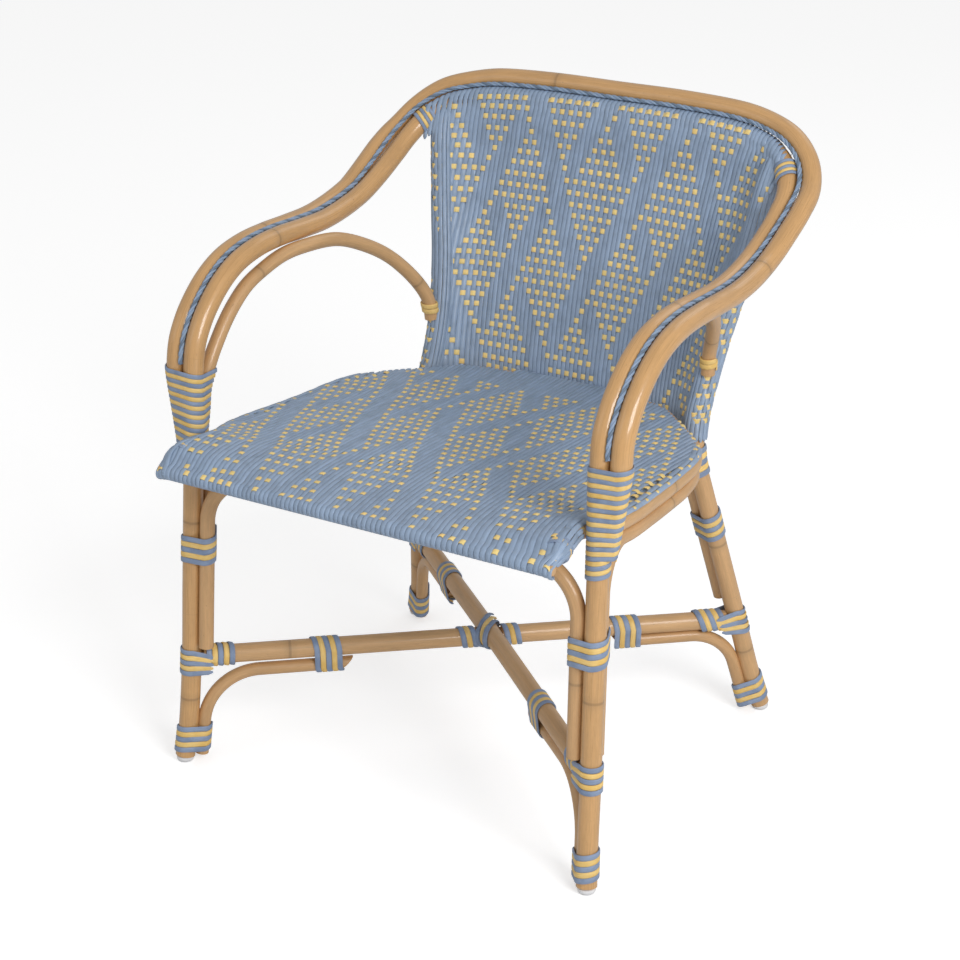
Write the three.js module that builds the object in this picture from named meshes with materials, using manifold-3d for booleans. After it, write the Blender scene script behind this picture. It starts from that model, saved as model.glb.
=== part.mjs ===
// Rattan bistro armchair: bent cane poles, strip bindings, woven seat and woven back.
// Millimetres, +Z up, the front faces -Y, and the feet stand on z = 0.
import * as THREE from "three";
import { mergeVertices } from "three/addons/utils/BufferGeometryUtils.js";
import Module from "manifold-3d";

const wasm = await Module();
wasm.setup();

// Clearances and counts.
const gap = 0.3;
const leastLoopGap = 0.4;
const overrun = 60;
const poleSides = 8;
const braceSides = 7;
const cordSides = 5;
const bendStep = 0.26;
const chordError = 0.6;
const seatChordError = 1.1;
const loopSteps = 8;

// Hoops: one bent pole makes both front legs, the arms and the top of the back.
const hoopRadius = 12.8;
const armHalf = 284.5;
const hoopReach = 582;
const hoopTop = 776;
const groundGap = 8.3;
// Centre line from the right foot to the middle of the back,
// in shares of armHalf, hoopReach and hoopTop.
const legShares = [
  [1.054, 0, 0],
  [1.041, 0.012, 0.059],
  [1.03, 0.029, 0.178],
];
const legStraightShares = [0.25, 0.5, 0.75];
const armShares = [
  [1, 0.076, 0.716],
  [1, 0.101, 0.754],
  [1, 0.136, 0.784],
  [1, 0.182, 0.811],
  [1, 0.235, 0.83],
  [0.999, 0.302, 0.841],
  [0.998, 0.38, 0.844],
  [0.998, 0.471, 0.841],
  [0.998, 0.555, 0.84],
  [0.998, 0.636, 0.847],
  [0.996, 0.708, 0.86],
  [0.996, 0.778, 0.881],
  [0.993, 0.84, 0.905],
  [0.981, 0.892, 0.93],
  [0.938, 0.935, 0.957],
  [0.858, 0.967, 0.977],
  [0.745, 0.99, 0.988],
  [0.633, 0.997, 0.995],
  [0.351, 1, 1],
  [0, 1, 1],
];
// Which way the outer hoop lies from the inner one, at each of those points in turn.
const outwardShares = [
  [1, 0, 0],
  [1, 0, 0],
  [1, 0, 0],
  [1, 0, 0],
  [1, 0, 0],
  [1, 0, 0],
  [1, 0, 0],
  [1, 0, 0],
  [1, 0, 0],
  [1, 0, 0],
  [1, 0, 0],
  [1, 0, 0],
  [1, 0, 0],
  [1, 0, 0.05],
  [1, 0, 0.08],
  [1, 0, 0.1],
  [1, 0.1, 0.15],
  [0.97, 0.2, 0.3],
  [0.78, 0.55, 0.5],
  [0.58, 0.75, 0.58],
  [0.38, 0.78, 0.64],
  [0.2, 0.68, 0.75],
  [0.08, 0.6, 0.82],
  [0, 0.54, 0.84],
  [0, 0.54, 0.84],
];
// Places along the hoop, counted back from the middle in control points.
const shoulderFromMiddle = 5;
const coverStartFromShoulder = 4;
const coverEndFromShoulder = 2;
const rollStartSpanShare = 0.34;

// Weave and strips.
const skin = 3.3;
const sheetThickness = 5;
const stripThickness = 2.1;
const stripGap = 0.5;
const armPitch = 5.85;
const armStripWidth = 5.2;
const bindPitch = 7.2;
const bindStripWidth = 6.6;
const armWrapBottom = 413;
const armWrapPairs = 10;
const shoulderTurns = 4;
const ringTurns = 2;
const crossTurns = 3;
const bindTurns = 4.5;
const jointTurns = 3;
const seatWrapTurns = 3;
const scarfTip = 3.2;
const cordRadius = 3.1;

// Seat.
const seatTop = 437;
const rimRadius = 12;
const rimRise = 22;
const frontRailRadius = 6.2;
const frontRailForward = 45;
const frontRailHalf = 275;
const seatColumns = 6;
const seatSagPower = 2;
// Rim side from front to rear: half width as a share of the width at the leg,
// reach as a share of the way from the front rail to the corner, and height as a share of rimRise.
const rimSideShares = [
  [1.033, 0, 0.42],
  [1.03, 0.035, 0.8],
  [1.016, 0.083, 1],
  [0.992, 0.15, 0.97],
  [0.99, 0.203, 0.86],
  [1.044, 0.29, 0.54],
  [1.053, 0.395, 0.34],
  [1.039, 0.508, 0.18],
  [1.024, 0.624, 0.06],
  [1.008, 0.737, 0.02],
  [0.991, 0.792, 0],
  [0.962, 0.835, 0],
  [0.922, 0.874, 0],
  [0.86, 0.917, 0],
  [0.783, 0.961, 0],
];
const rimTaperShare = 0.12;
const rimCornerAngle = 0.93;
const rimRearShares = [
  [0.565, 0.66],
  [0.38, 0.92],
  [0.19, 0.99],
];

// Back.
const backBottom = 405;
const backBulge = 38;
const backColumns = 10;
const backRows = 4;
const backSquareness = 4;

// Rear legs, bent at the seat and rising to the hoop: shares of rearHalf, rearReach and rearTop.
const rearRadius = 12.3;
const rearHalf = 280;
const rearReach = 525;
const rearTop = 735;
const rearShares = [
  [1, 1, 0],
  [0.957, 0.979, 0.065],
  [0.775, 0.838, 0.476],
  [0.746, 0.833, 0.517],
  [0.727, 0.844, 0.555],
  [0.72, 0.867, 0.599],
  [0.725, 0.895, 0.646],
  [0.739, 0.924, 0.701],
  [0.771, 0.96, 0.776],
  [0.811, 0.992, 0.846],
  [0.839, 1.015, 0.912],
  [0.861, 1.034, 0.973],
  [0.875, 1.051, 1.007],
  [0.885, 1.075, 1.035],
];
const rearStraightShares = [0.25, 0.5, 0.75];

// Arc braces between the arm wraps and the uprights: shares of armHalf, rearReach and archRise.
const arcRadius = 9.2;
const archRise = 630;
const tailShares = [0.08, 0.3, 0.55, 0.8];
const tailEndShare = 0.3;
const arcShares = [
  [1.000, 0.143, 0.851],
  [1.000, 0.170, 0.881],
  [1.000, 0.204, 0.913],
  [0.998, 0.240, 0.941],
  [0.995, 0.288, 0.968],
  [0.984, 0.350, 0.989],
  [0.967, 0.418, 1.005],
  [0.943, 0.495, 1.009],
  [0.914, 0.602, 1.001],
  [0.879, 0.695, 0.971],
  [0.844, 0.773, 0.932],
  [0.801, 0.825, 0.889],
  [0.766, 0.857, 0.851],
  [0.745, 0.872, 0.822],
  [0.738, 0.878, 0.794],
  [0.735, 0.880, 0.775],
];

// Braces under the seat.
const braceRadius = 9.6;
const braceFoot = 165;
const rearBraceFoot = 171;
const frontBend = 66;
const sideBend = 52;
const rearBend = 66;
const rearLean = 0.375;
const sideLean = 0.26;
const sideRunShares = [0.33, 0.395, 0.508, 0.624, 0.737, 0.835, 0.917];

// Stretchers and their knees.
const stretcherRadius = 12.2;
const stretcherHeight = 142;
const stretcherLift = 4;
const stretcherArch = 4;
const frontStretcherLift = 4;
const kneeRadius = 8.5;
const kneeFoot = 9;
const kneeBend = 75;
const rearKneeBend = 64;
const frontKneeRun = 213;
const rearKneeRun = 180;
const frontKneeWrapFromEnd = 37;
const rearKneeWrapFromEnd = 22;

// Binding heights at their middles.
const footWrapHeight = 34;
const topWrapHeight = 298;
const rearTopWrapHeight = 286;
const rearSeatWrapHeight = 376;
const jointWrapRun = 30.5;
const ringHeight = 520;

// Glides.
const glideRadius = 11.4;
const glideFlat = 6;
const glideHeight = 8;
const glideEdge = 3;

const canes = { colour: 0xc79d6e, roughness: 0.5 };
const blue = { colour: 0x7b96b6, roughness: 0.55 };
const yellow = { colour: 0xe9cd80, roughness: 0.55 };
const plastic = { colour: 0xeeeef0, roughness: 0.4 };

const V = (x, y, z) => new THREE.Vector3(x, y, z);
const up = V(0, 0, 1);
const mirrored = (p) => V(-p.x, p.y, p.z);
const along = (a, b, share) => a.clone().lerp(b, share);

// Solids from rings of points, closed at both ends.
function solidFromRings(rings) {
  const points = [];
  const index = [];
  const n = rings[0].length;
  for (const ring of rings) for (const p of ring) points.push(p.x, p.y, p.z);
  for (let i = 0; i + 1 < rings.length; i++)
    for (let j = 0; j < n; j++) {
      const a = i * n + j;
      const b = i * n + ((j + 1) % n);
      index.push(a, b, b + n, a, b + n, a + n);
    }
  const last = (rings.length - 1) * n;
  for (let j = 1; j + 1 < n; j++) index.push(0, j + 1, j, last, last + j, last + j + 1);
  return manifoldOf(new Float32Array(points), new Uint32Array(index));
}

function manifoldOf(positions, triangles) {
  const make = (tri) => {
    const mesh = new wasm.Mesh({ numProp: 3, vertProperties: positions, triVerts: tri });
    return new wasm.Manifold(mesh);
  };
  const solid = make(triangles);
  if (solid.volume() > 0) return solid;
  const turned = triangles.slice();
  for (let i = 0; i < turned.length; i += 3) {
    turned[i + 1] = triangles[i + 2];
    turned[i + 2] = triangles[i + 1];
  }
  return make(turned);
}

function geometryOf(solid) {
  const mesh = solid.getMesh();
  const geometry = new THREE.BufferGeometry();
  const points = new Float32Array(mesh.numVert * 3);
  for (let i = 0; i < mesh.numVert; i++)
    points.set(mesh.vertProperties.subarray(i * mesh.numProp, i * mesh.numProp + 3), i * 3);
  geometry.setAttribute("position", new THREE.BufferAttribute(points, 3));
  geometry.setIndex(new THREE.BufferAttribute(mesh.triVerts, 1));
  return mergeVertices(geometry);
}

const chair = new THREE.Group();
chair.name = "rattan_bistro_chair";

function add(name, solid, finish) {
  const material = new THREE.MeshStandardMaterial({
    color: finish.colour,
    roughness: finish.roughness,
    metalness: 0,
  });
  const geometry = geometryOf(solid);
  geometry.computeVertexNormals();
  const mesh = new THREE.Mesh(geometry, material);
  mesh.name = name;
  chair.add(mesh);
}

const reflect = (solid) => solid.mirror([1, 0, 0]);

function addPair(name, solid, finish) {
  add(name + "_right", solid, finish);
  add(name + "_left", reflect(solid), finish);
}

// Stations along a fine polyline: a new one wherever the line turns by bendStep
// or leaves the chord by the allowed amount.
function stations(points, stray = chordError) {
  const kept = [0];
  let turned = 0;
  for (let i = 1; i + 1 < points.length; i++) {
    const a = points[i].clone().sub(points[i - 1]);
    const b = points[i + 1].clone().sub(points[i]);
    turned += a.angleTo(b);
    const start = points[kept[kept.length - 1]];
    const chord = points[i + 1].clone().sub(start).normalize();
    const strays = (p) => p.clone().sub(start).cross(chord).length() > stray;
    if (turned > bendStep || points.slice(kept[kept.length - 1] + 1, i + 1).some(strays)) {
      kept.push(i);
      turned = 0;
    }
  }
  kept.push(points.length - 1);
  return kept;
}

function tangentAt(points, i) {
  const a = points[Math.max(i - 1, 0)];
  const b = points[Math.min(i + 1, points.length - 1)];
  return b.clone().sub(a).normalize();
}

// A pole along a fine polyline, with a radius that may change along it.
function pole(points, radius, sides, kept = stations(points)) {
  const radiusAt = typeof radius === "function" ? radius : () => radius;
  const rings = [];
  let side = null;
  for (const i of kept) {
    const t = tangentAt(points, i);
    if (!side) side = Math.abs(t.z) > Math.abs(t.x) ? V(1, 0, 0) : V(0, 0, 1);
    side.addScaledVector(t, -side.dot(t)).normalize();
    const other = t.clone().cross(side);
    const r = radiusAt(i / (points.length - 1), points[i]);
    const ring = [];
    for (let k = 0; k < sides; k++) {
      const angle = (2 * Math.PI * k) / sides;
      ring.push(
        points[i]
          .clone()
          .addScaledVector(side, r * Math.cos(angle))
          .addScaledVector(other, r * Math.sin(angle)),
      );
    }
    rings.push(ring);
    side = side.clone();
  }
  return solidFromRings(rings);
}

// A smooth curve through its control points, as a fine polyline with a fixed count per span.
const spanPoints = 14;
const leastStep = 3;
function smooth(controls) {
  const curve = new THREE.CatmullRomCurve3(controls, false, "centripetal");
  return curve.getPoints((controls.length - 1) * spanPoints);
}

// Straight runs joined by round bends.
const arcPoints = 24;
function bent(corners, radii) {
  const line = [corners[0]];
  for (let i = 1; i + 1 < corners.length; i++) {
    const a = corners[i - 1].clone().sub(corners[i]).normalize();
    const b = corners[i + 1].clone().sub(corners[i]).normalize();
    const half = a.angleTo(b) / 2;
    const back = radii[i - 1] / Math.tan(half);
    const start = corners[i].clone().addScaledVector(a, back);
    const centre = corners[i]
      .clone()
      .addScaledVector(a.clone().add(b).normalize(), radii[i - 1] / Math.sin(half));
    const from = start.clone().sub(centre);
    const axis = a.clone().cross(b).normalize();
    const sweep = Math.PI - 2 * half;
    for (let k = 0; k <= arcPoints; k++)
      line.push(centre.clone().add(from.clone().applyAxisAngle(axis, (-sweep * k) / arcPoints)));
  }
  line.push(corners[corners.length - 1]);
  return line;
}

const byHeight = (points, z) => {
  for (let i = 1; i < points.length; i++) {
    const a = points[i - 1];
    const b = points[i];
    if (b.z >= z && b.z > a.z) return along(a, b, (z - a.z) / (b.z - a.z));
  }
  return points[points.length - 1].clone();
};

const shareBox = (x, y, z) => (row) => V(row[0] * x, row[1] * y, row[2] * z);
const flatFoot = (solid, height) => solid.trimByPlane([0, 0, 1], height);

// Inner hoop.
const toHoop = shareBox(armHalf, hoopReach, hoopTop);
const legPoints = legShares.map(toHoop);
const armPoints = armShares.map(toHoop);
const straight = legStraightShares.map((s) => along(legPoints[2], armPoints[0], s));
const halfControls = [...legPoints, ...straight, ...armPoints];
const fullControls = [...halfControls, ...halfControls.slice(0, -1).reverse().map(mirrored)];
const fullLine = smooth(fullControls);
const innerHalf = fullLine.slice(0, (fullLine.length + 1) / 2);
const innerKept = stations(innerHalf);
const mirrorKept = (kept, count) => {
  const last = count - 1;
  return [...kept, ...kept.slice(0, -1).reverse().map((i) => 2 * last - i)];
};
const mirrorLine = (half) => [...half, ...half.slice(0, -1).reverse().map(mirrored)];
const legAt = (z) => byHeight(innerHalf, z);
const legWay = legAt(armWrapBottom).sub(legAt(braceFoot)).normalize();

// How far the weave has begun to wrap the inner hoop: none on the arms, all of it across the back.
const shoulderAt = (halfControls.length - 1 - shoulderFromMiddle) * spanPoints;
const coverFrom = shoulderAt - coverStartFromShoulder * spanPoints;
const coverTo = shoulderAt - coverEndFromShoulder * spanPoints;
const cover = (i) => Math.min(Math.max((i - coverFrom) / (coverTo - coverFrom), 0), 1);

// Outer hoop, beside the inner one at a fixed distance.
const armWrapTop = armWrapBottom + armWrapPairs * 2 * armPitch;
const outwardAt = (i) => {
  const span = Math.min(Math.floor(i / spanPoints), outwardShares.length - 2);
  const share = i / spanPoints - span;
  const d = along(V(...outwardShares[span]), V(...outwardShares[span + 1]), share);
  const t = tangentAt(fullLine, i);
  return d.addScaledVector(t, -d.dot(t)).normalize();
};
const hoopSpacing = (i) => 2 * hoopRadius + gap + cover(i) * (skin + gap);
const scarfShare = (z) => Math.min(Math.max((z - armWrapBottom) / (armWrapTop - armWrapBottom), 0), 1);
const outerRadiusAt = (z) => scarfTip + (hoopRadius - scarfTip) * scarfShare(z);
const scarfStart = innerHalf.findIndex((p) => p.z > armWrapBottom + armPitch);
const outerLine = [];
for (let i = scarfStart; i < innerHalf.length; i++) {
  const r = outerRadiusAt(innerHalf[i].z);
  outerLine.push(innerHalf[i].clone().addScaledVector(outwardAt(i), hoopSpacing(i) - hoopRadius + r));
}
const outerKept = innerKept.filter((i) => i > scarfStart + spanPoints).map((i) => i - scarfStart);
const scarfTopIndex = innerHalf.findIndex((p) => p.z > armWrapTop) - scarfStart;
const outerStations = [0, scarfTopIndex, ...outerKept.filter((i) => i > scarfTopIndex)];
const outerFull = mirrorLine(outerLine);
const outerRadius = (share, p) => outerRadiusAt(p.z);

const innerFull = mirrorLine(innerHalf);
const innerPole = flatFoot(
  pole(innerFull, hoopRadius, poleSides, mirrorKept(innerKept, innerHalf.length)),
  groundGap,
);
add("hoop_inner", innerPole, canes);
const outerFullKept = mirrorKept(outerStations, outerLine.length);
add("hoop_outer", pole(outerFull, outerRadius, poleSides, outerFullKept), canes);

// Cord laid in the groove on top between both hoops.
const cordStart = innerHalf.findIndex((p) => p.z > armWrapTop + stripThickness);
const cordLine = [];
for (let i = cordStart; i < innerHalf.length; i++) {
  const spacing = hoopSpacing(i);
  const toInner = hoopRadius + cover(i) * (gap + skin) + gap + cordRadius;
  const toOuter = hoopRadius + gap + cordRadius;
  const run = (spacing ** 2 + toInner ** 2 - toOuter ** 2) / (2 * spacing);
  const rise = Math.sqrt(toInner ** 2 - run ** 2);
  const d = outwardAt(i);
  const n = d.clone().cross(tangentAt(fullLine, i));
  cordLine.push(innerHalf[i].clone().addScaledVector(d, run).addScaledVector(n, rise));
}
const cordKept = innerKept.filter((i) => i > cordStart + leastStep).map((i) => i - cordStart);
const cordFullKept = mirrorKept([0, ...cordKept], cordLine.length);
add("groove_cord", pole(mirrorLine(cordLine), cordRadius, cordSides, cordFullKept), blue);

// Rear legs that carry on upwards as the uprights of the back.
const toRear = shareBox(rearHalf, rearReach, rearTop);
const rearControls = rearShares.map(toRear);
rearControls.splice(2, 0, ...rearStraightShares.map((s) => along(rearControls[1], rearControls[2], s)));
const rearLine = smooth(rearControls);
const rearAt = (z) => byHeight(rearLine, z);
const hoopBore = pole(innerFull, hoopRadius + gap, poleSides, mirrorKept(innerKept, innerHalf.length));
const rearPole = flatFoot(pole(rearLine, rearRadius, poleSides), groundGap).subtract(hoopBore);
const largest = (solid) => solid.decompose().reduce((a, b) => (a.volume() > b.volume() ? a : b));
addPair("rear_leg_upright", largest(rearPole), canes);

// Arc braces: a tapered tail behind each front leg, the arch under the arm,
// and an end coped to the upright.
const behind = V(0, 1, 0);
const arcRadiusAt = (z) => scarfTip + (arcRadius - scarfTip) * scarfShare(z);
const arcTail = tailShares.map((s) => {
  const z = armWrapBottom + s * (armWrapTop - armWrapBottom);
  return legAt(z).addScaledVector(behind, hoopRadius + 2 * gap + arcRadiusAt(z));
});
const arcLine = smooth([...arcTail, ...arcShares.map(shareBox(armHalf, rearReach, archRise))]);
const sleeveRadius = rearRadius + gap + skin;
const rearBore = pole(rearLine, rearRadius + gap, poleSides);
const arcKept = stations(arcLine);
const arcSize = (extra) => (share, p) => (share < tailEndShare ? arcRadiusAt(p.z) : arcRadius) + extra;
const arcPole = pole(arcLine, arcSize(0), braceSides, arcKept);
const arcKeep = pole(arcLine, arcSize(gap), braceSides, arcKept);
addPair("arc_brace", largest(arcPole.subtract(rearBore)), canes);

// Bindings: one strip wound in loops round a bundle of poles.
// A disc is the oval that the plane of a loop cuts from a pole:
// its centre, its long way and its two half widths.
function support(discs, angle) {
  const c = Math.cos(angle);
  const s = Math.sin(angle);
  const reach = (d) => Math.hypot(d.long * (c * d.wayX + s * d.wayY), d.radius * (s * d.wayX - c * d.wayY));
  return Math.max(...discs.map((d) => d.x * c + d.y * s + reach(d)));
}

// The corner where the two lines that touch the bundle at angles a0 and a1, offset outward, cross.
function corneredAt(plane, discs, a0, a1, offset) {
  const h0 = support(discs, a0) + offset;
  const h1 = support(discs, a1) + offset;
  const det = Math.sin(a1 - a0);
  const px = (h0 * Math.sin(a1) - h1 * Math.sin(a0)) / det;
  const py = (h1 * Math.cos(a0) - h0 * Math.cos(a1)) / det;
  return plane.o.clone().addScaledVector(plane.x, px).addScaledVector(plane.y, py);
}

// The room that a winding needs, as a solid.
function roomFor({ frame, discsAt, pitch, width, turns }) {
  const rings = [];
  const from = -width;
  const to = turns * pitch + width;
  const step = (2 * Math.PI) / loopSteps;
  for (let i = 0; i <= loopSteps; i++) {
    const h = from + ((to - from) * i) / loopSteps;
    const plane = frame(h);
    const discs = [...discsAt(h - width), ...discsAt(h), ...discsAt(h + width)];
    const ring = [];
    for (let k = 0; k < loopSteps; k++)
      ring.push(corneredAt(plane, discs, step * k, step * (k + 1), stripGap + stripThickness + gap));
    rings.push(ring);
  }
  return solidFromRings(rings);
}

let leastGap = Infinity;
function winding({ frame, discsAt, pitch, width, turns, start = 0 }) {
  const rings = [];
  const step = (2 * Math.PI) / loopSteps;
  const reach = width / 2 + pitch / loopSteps;
  for (let k = 0; k <= turns * loopSteps; k++) {
    const h = (pitch * k) / loopSteps + start;
    const plane = frame(h);
    const discs = [...discsAt(h - reach), ...discsAt(h), ...discsAt(h + reach)];
    const corner = (offset) => corneredAt(plane, discs, step * k, step * (k + 1), offset);
    const edge = [corner(stripGap), corner(stripGap + stripThickness)];
    const side = plane.z.clone().multiplyScalar(width / 2);
    rings.push([
      edge[0].clone().sub(side),
      edge[1].clone().sub(side),
      edge[1].clone().add(side),
      edge[0].clone().add(side),
    ]);
  }
  measureGap(rings);
  return solidFromRings(rings);
}

// The least gap of a loop to the next one, measured between their points.
function measureGap(rings) {
  for (let k = 0; k + loopSteps < rings.length; k++) {
    const next = rings.slice(k + loopSteps - 1, k + loopSteps + 2).flatMap((ring) => ring.slice(0, 2));
    for (const p of rings[k].slice(2)) for (const q of next) leastGap = Math.min(leastGap, p.distanceTo(q));
  }
}

// The frame and the discs of a winding round poles that are given as point lists.
const flatFrame = (origin, axis, sideways) => {
  const z = axis.clone().normalize();
  const x = sideways.clone().addScaledVector(z, -sideways.dot(z)).normalize();
  const y = z.clone().cross(x);
  return (h) => ({ o: origin.clone().addScaledVector(z, h), x, y, z });
};
function cutBy(line, plane) {
  for (let i = 1; i < line.length; i++) {
    const a = line[i - 1].clone().sub(plane.o).dot(plane.z);
    const b = line[i].clone().sub(plane.o).dot(plane.z);
    if (a * b > 0 || a === b) continue;
    const way = line[i].clone().sub(line[i - 1]).normalize();
    return { at: along(line[i - 1], line[i], a / (a - b)), way };
  }
  return null;
}
function discOf(member, plane) {
  const cut = cutBy(member.line, plane);
  if (!cut) return [];
  const radius = member.radiusAt ? member.radiusAt(cut.at.z) : member.radius;
  const d = cut.at.clone().sub(plane.o);
  const slope = Math.abs(cut.way.dot(plane.z));
  const flat = Math.hypot(cut.way.dot(plane.x), cut.way.dot(plane.y)) || 1;
  return [{
    x: d.dot(plane.x),
    y: d.dot(plane.y),
    wayX: flat < 1 && slope < 1 ? cut.way.dot(plane.x) / flat : 1,
    wayY: flat < 1 && slope < 1 ? cut.way.dot(plane.y) / flat : 0,
    long: radius / slope,
    radius,
  }];
}
const discsOf = (frame, members) => (h) => members.flatMap((member) => discOf(member, frame(h)));

// A binding with its middle at a point.
const bindStrip = { pitch: bindPitch, width: bindStripWidth };
const narrowStrip = { pitch: armPitch, width: armStripWidth };
function binding(middle, axis, sideways, members, turns = bindTurns, strip = bindStrip) {
  const way = axis.clone().normalize();
  const half = (turns * strip.pitch) / 2;
  const frame = flatFrame(middle.clone().addScaledVector(way, -half), way, sideways);
  return { frame, discsAt: discsOf(frame, members), turns, ...strip };
}

// Arm wraps: a blue strip and a yellow strip side by side round leg, scarf and arc tail.
const armFrame = flatFrame(legAt(armWrapBottom), legAt(armWrapTop).sub(legAt(armWrapBottom)), V(1, 0, 0));
const armMembers = [
  { line: innerHalf.slice(0, shoulderAt), radius: hoopRadius },
  { line: outerLine.slice(0, shoulderAt - scarfStart), radiusAt: outerRadiusAt },
  { line: arcLine.slice(0, (tailShares.length + 2) * spanPoints), radiusAt: arcRadiusAt },
];
const armDiscs = discsOf(armFrame, armMembers);
const armBinding = (start, turns) => (
  { frame: armFrame, discsAt: armDiscs, pitch: 2 * armPitch, width: armStripWidth, turns, start });
addPair("arm_wrap_blue", winding(armBinding(0, armWrapPairs)), blue);
addPair("arm_wrap_yellow", winding(armBinding(armPitch, armWrapPairs - 1)), yellow);
const armRoom = roomFor(armBinding(0, armWrapPairs));

// Shoulder wraps where the weave begins, and rings round the arcs where they enter it.
const shoulderMid = shoulderAt - Math.round(spanPoints / 2);
const shoulderPole = { line: innerHalf.slice(coverFrom, shoulderAt + spanPoints), radius: hoopRadius };
const shoulderWay = tangentAt(innerHalf, shoulderMid);
const shoulderBinding = binding(
  innerHalf[shoulderMid], shoulderWay, up, [shoulderPole], shoulderTurns, narrowStrip);
addPair("shoulder_wrap", winding(shoulderBinding), yellow);
const ringAt = arcLine.findIndex((p, i) => i > arcLine.length / 2 && p.z < ringHeight);
const ringPole = { line: arcLine.slice(arcLine.length / 2), radius: arcRadius };
const ringBinding = binding(arcLine[ringAt], tangentAt(arcLine, ringAt), V(1, 0, 0), [ringPole], ringTurns);
addPair("arc_ring", winding(ringBinding), yellow);
const wrapRoom = wasm.Manifold.union([roomFor(shoulderBinding), roomFor(ringBinding)]);

// Seat rim: sides that rise beside the legs, corners inside the uprights, rear run in front of the back.
const coverDepth = gap + skin;
const rimHeight = seatTop - coverDepth - rimRadius;
const rimAtLeg = legAt(rimHeight).x - hoopRadius - stripGap - stripThickness - 3 * gap - rimRadius;
const upright = rearAt(rimHeight);
const cornerReach = sleeveRadius + gap + coverDepth + rimRadius + gap;
const corner = V(
  upright.x - cornerReach * Math.cos(rimCornerAngle),
  upright.y - cornerReach * Math.sin(rimCornerAngle),
  rimHeight,
);
const sheetRise = (hoopReach - upright.y - backBulge) / (hoopTop - backBottom);
const backMidAt = (z) => upright.y + backBulge + (z - backBottom) * sheetRise - sheetThickness / 2;
const rimRear = backMidAt(rimHeight) - gap - coverDepth - rimRadius;
const rimFront = -frontRailForward;
const rimSide = rimSideShares.map(([x, y, z]) =>
  V(rimAtLeg * x, rimFront + y * (corner.y - rimFront), rimHeight + z * rimRise));
const rimRearRun = rimRearShares.map(([x, y]) =>
  V(rimAtLeg * x, corner.y + y * (rimRear - corner.y), rimHeight));
const rimHalfControls = [...rimSide, corner, ...rimRearRun, V(0, rimRear, rimHeight)];
const rimHalf = smooth([...rimHalfControls, mirrored(rimRearRun[rimRearRun.length - 1])]).slice(0, -spanPoints);
const rimLine = mirrorLine(rimHalf);
const rimKept = mirrorKept(stations(rimHalf, seatChordError), rimHalf.length);
const rimSize = (extra) => (share) => {
  const run = Math.min(share, 1 - share) / (rimTaperShare / 2);
  return frontRailRadius + (rimRadius - frontRailRadius) * Math.min(run, 1) + extra;
};
const rimSweep = (extra) => pole(rimLine, rimSize(extra), poleSides, rimKept);
const frontRailHeight = rimSide[0].z;
const railEnd = V(frontRailHalf, rimFront, frontRailHeight);
const railEnds = [mirrored(railEnd), railEnd];
const railBore = pole(railEnds, frontRailRadius + gap, poleSides);
add("seat_rim", largest(rimSweep(0).subtract(railBore)), canes);
add("seat_front_rail", pole(railEnds, frontRailRadius, poleSides), canes);

// A sheet through rings of points, with its front and rear faces at both ends of each ring.
function solidFromSheet(rings) {
  const points = [];
  const index = [];
  const n = rings[0].length;
  for (const ring of rings) for (const p of ring) points.push(p.x, p.y, p.z);
  for (let i = 0; i + 1 < rings.length; i++)
    for (let j = 0; j < n; j++) {
      const a = i * n + j;
      const b = i * n + ((j + 1) % n);
      index.push(a, b, b + n, a, b + n, a + n);
    }
  for (const start of [0, (rings.length - 1) * n])
    for (let j = 0; j + 1 < n / 2; j++) {
      const quad = [start + j, start + j + 1, start + n - 2 - j, start + n - 1 - j];
      const order = start ? [0, 1, 2, 0, 2, 3] : [0, 2, 1, 0, 3, 2];
      index.push(...order.map((k) => quad[k]));
    }
  return manifoldOf(new Float32Array(points), new Uint32Array(index));
}

// Woven seat: a saddle sheet, rolled right round the front rail and over the outer half of the rim.
const frontLift = frontRailHeight + frontRailRadius - rimRadius;
const seatRing = (i) => {
  const p = rimHalf[i];
  const middle = frontLift + ((rimHeight - frontLift) * (p.y - rimFront)) / (rimRear - rimFront);
  const edge = i ? p.z : frontLift;
  const top = [];
  for (let k = 0; k <= seatColumns; k++) {
    const u = (2 * k) / seatColumns - 1;
    top.push(V(p.x * u, p.y, middle + (edge - middle) * Math.abs(u) ** seatSagPower + rimRadius + coverDepth));
  }
  const under = top.map((q) => q.clone().sub(V(0, 0, sheetThickness)));
  return [...top, ...under.reverse()];
};
const seatSheet = solidFromSheet(stations(rimHalf, seatChordError).slice(0, -1).map(seatRing));
const coverEnd = railEnd.clone().add(V(coverDepth, 0, 0));
const frontRoll = pole([mirrored(coverEnd), coverEnd], frontRailRadius + coverDepth, poleSides);
const rollBack = rimFront + frontRailRadius + coverDepth;
const belowStart = rimHalf.findIndex((p) => p.y > rollBack);
const belowRing = (p, i, line) => {
  const way = tangentAt(line, i);
  const side = V(way.y, -way.x, 0).normalize().multiplyScalar(rimRadius + coverDepth + overrun);
  const inner = p.clone().sub(side).add(V(0, 0, gap));
  const outer = p.clone().add(side).add(V(0, 0, gap));
  const deep = V(0, 0, -overrun);
  return [inner, outer, outer.clone().add(deep), inner.clone().add(deep)];
};
const belowEnd = rimLine.length - 1 - belowStart;
const belowIndex = rimKept.filter((i) => i >= belowStart && i <= belowEnd);
const below = belowIndex.map((i) => belowRing(rimLine[i], i, rimLine));
let seat = wasm.Manifold.union([seatSheet, rimSweep(coverDepth), frontRoll]);
for (let i = 1; i < below.length; i++) seat = seat.subtract(solidFromRings([below[i - 1], below[i]]));
seat = seat.subtract(rimSweep(gap)).subtract(railBore).subtract(armRoom).subtract(reflect(armRoom));
add("seat_weave", largest(seat), blue);

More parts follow.
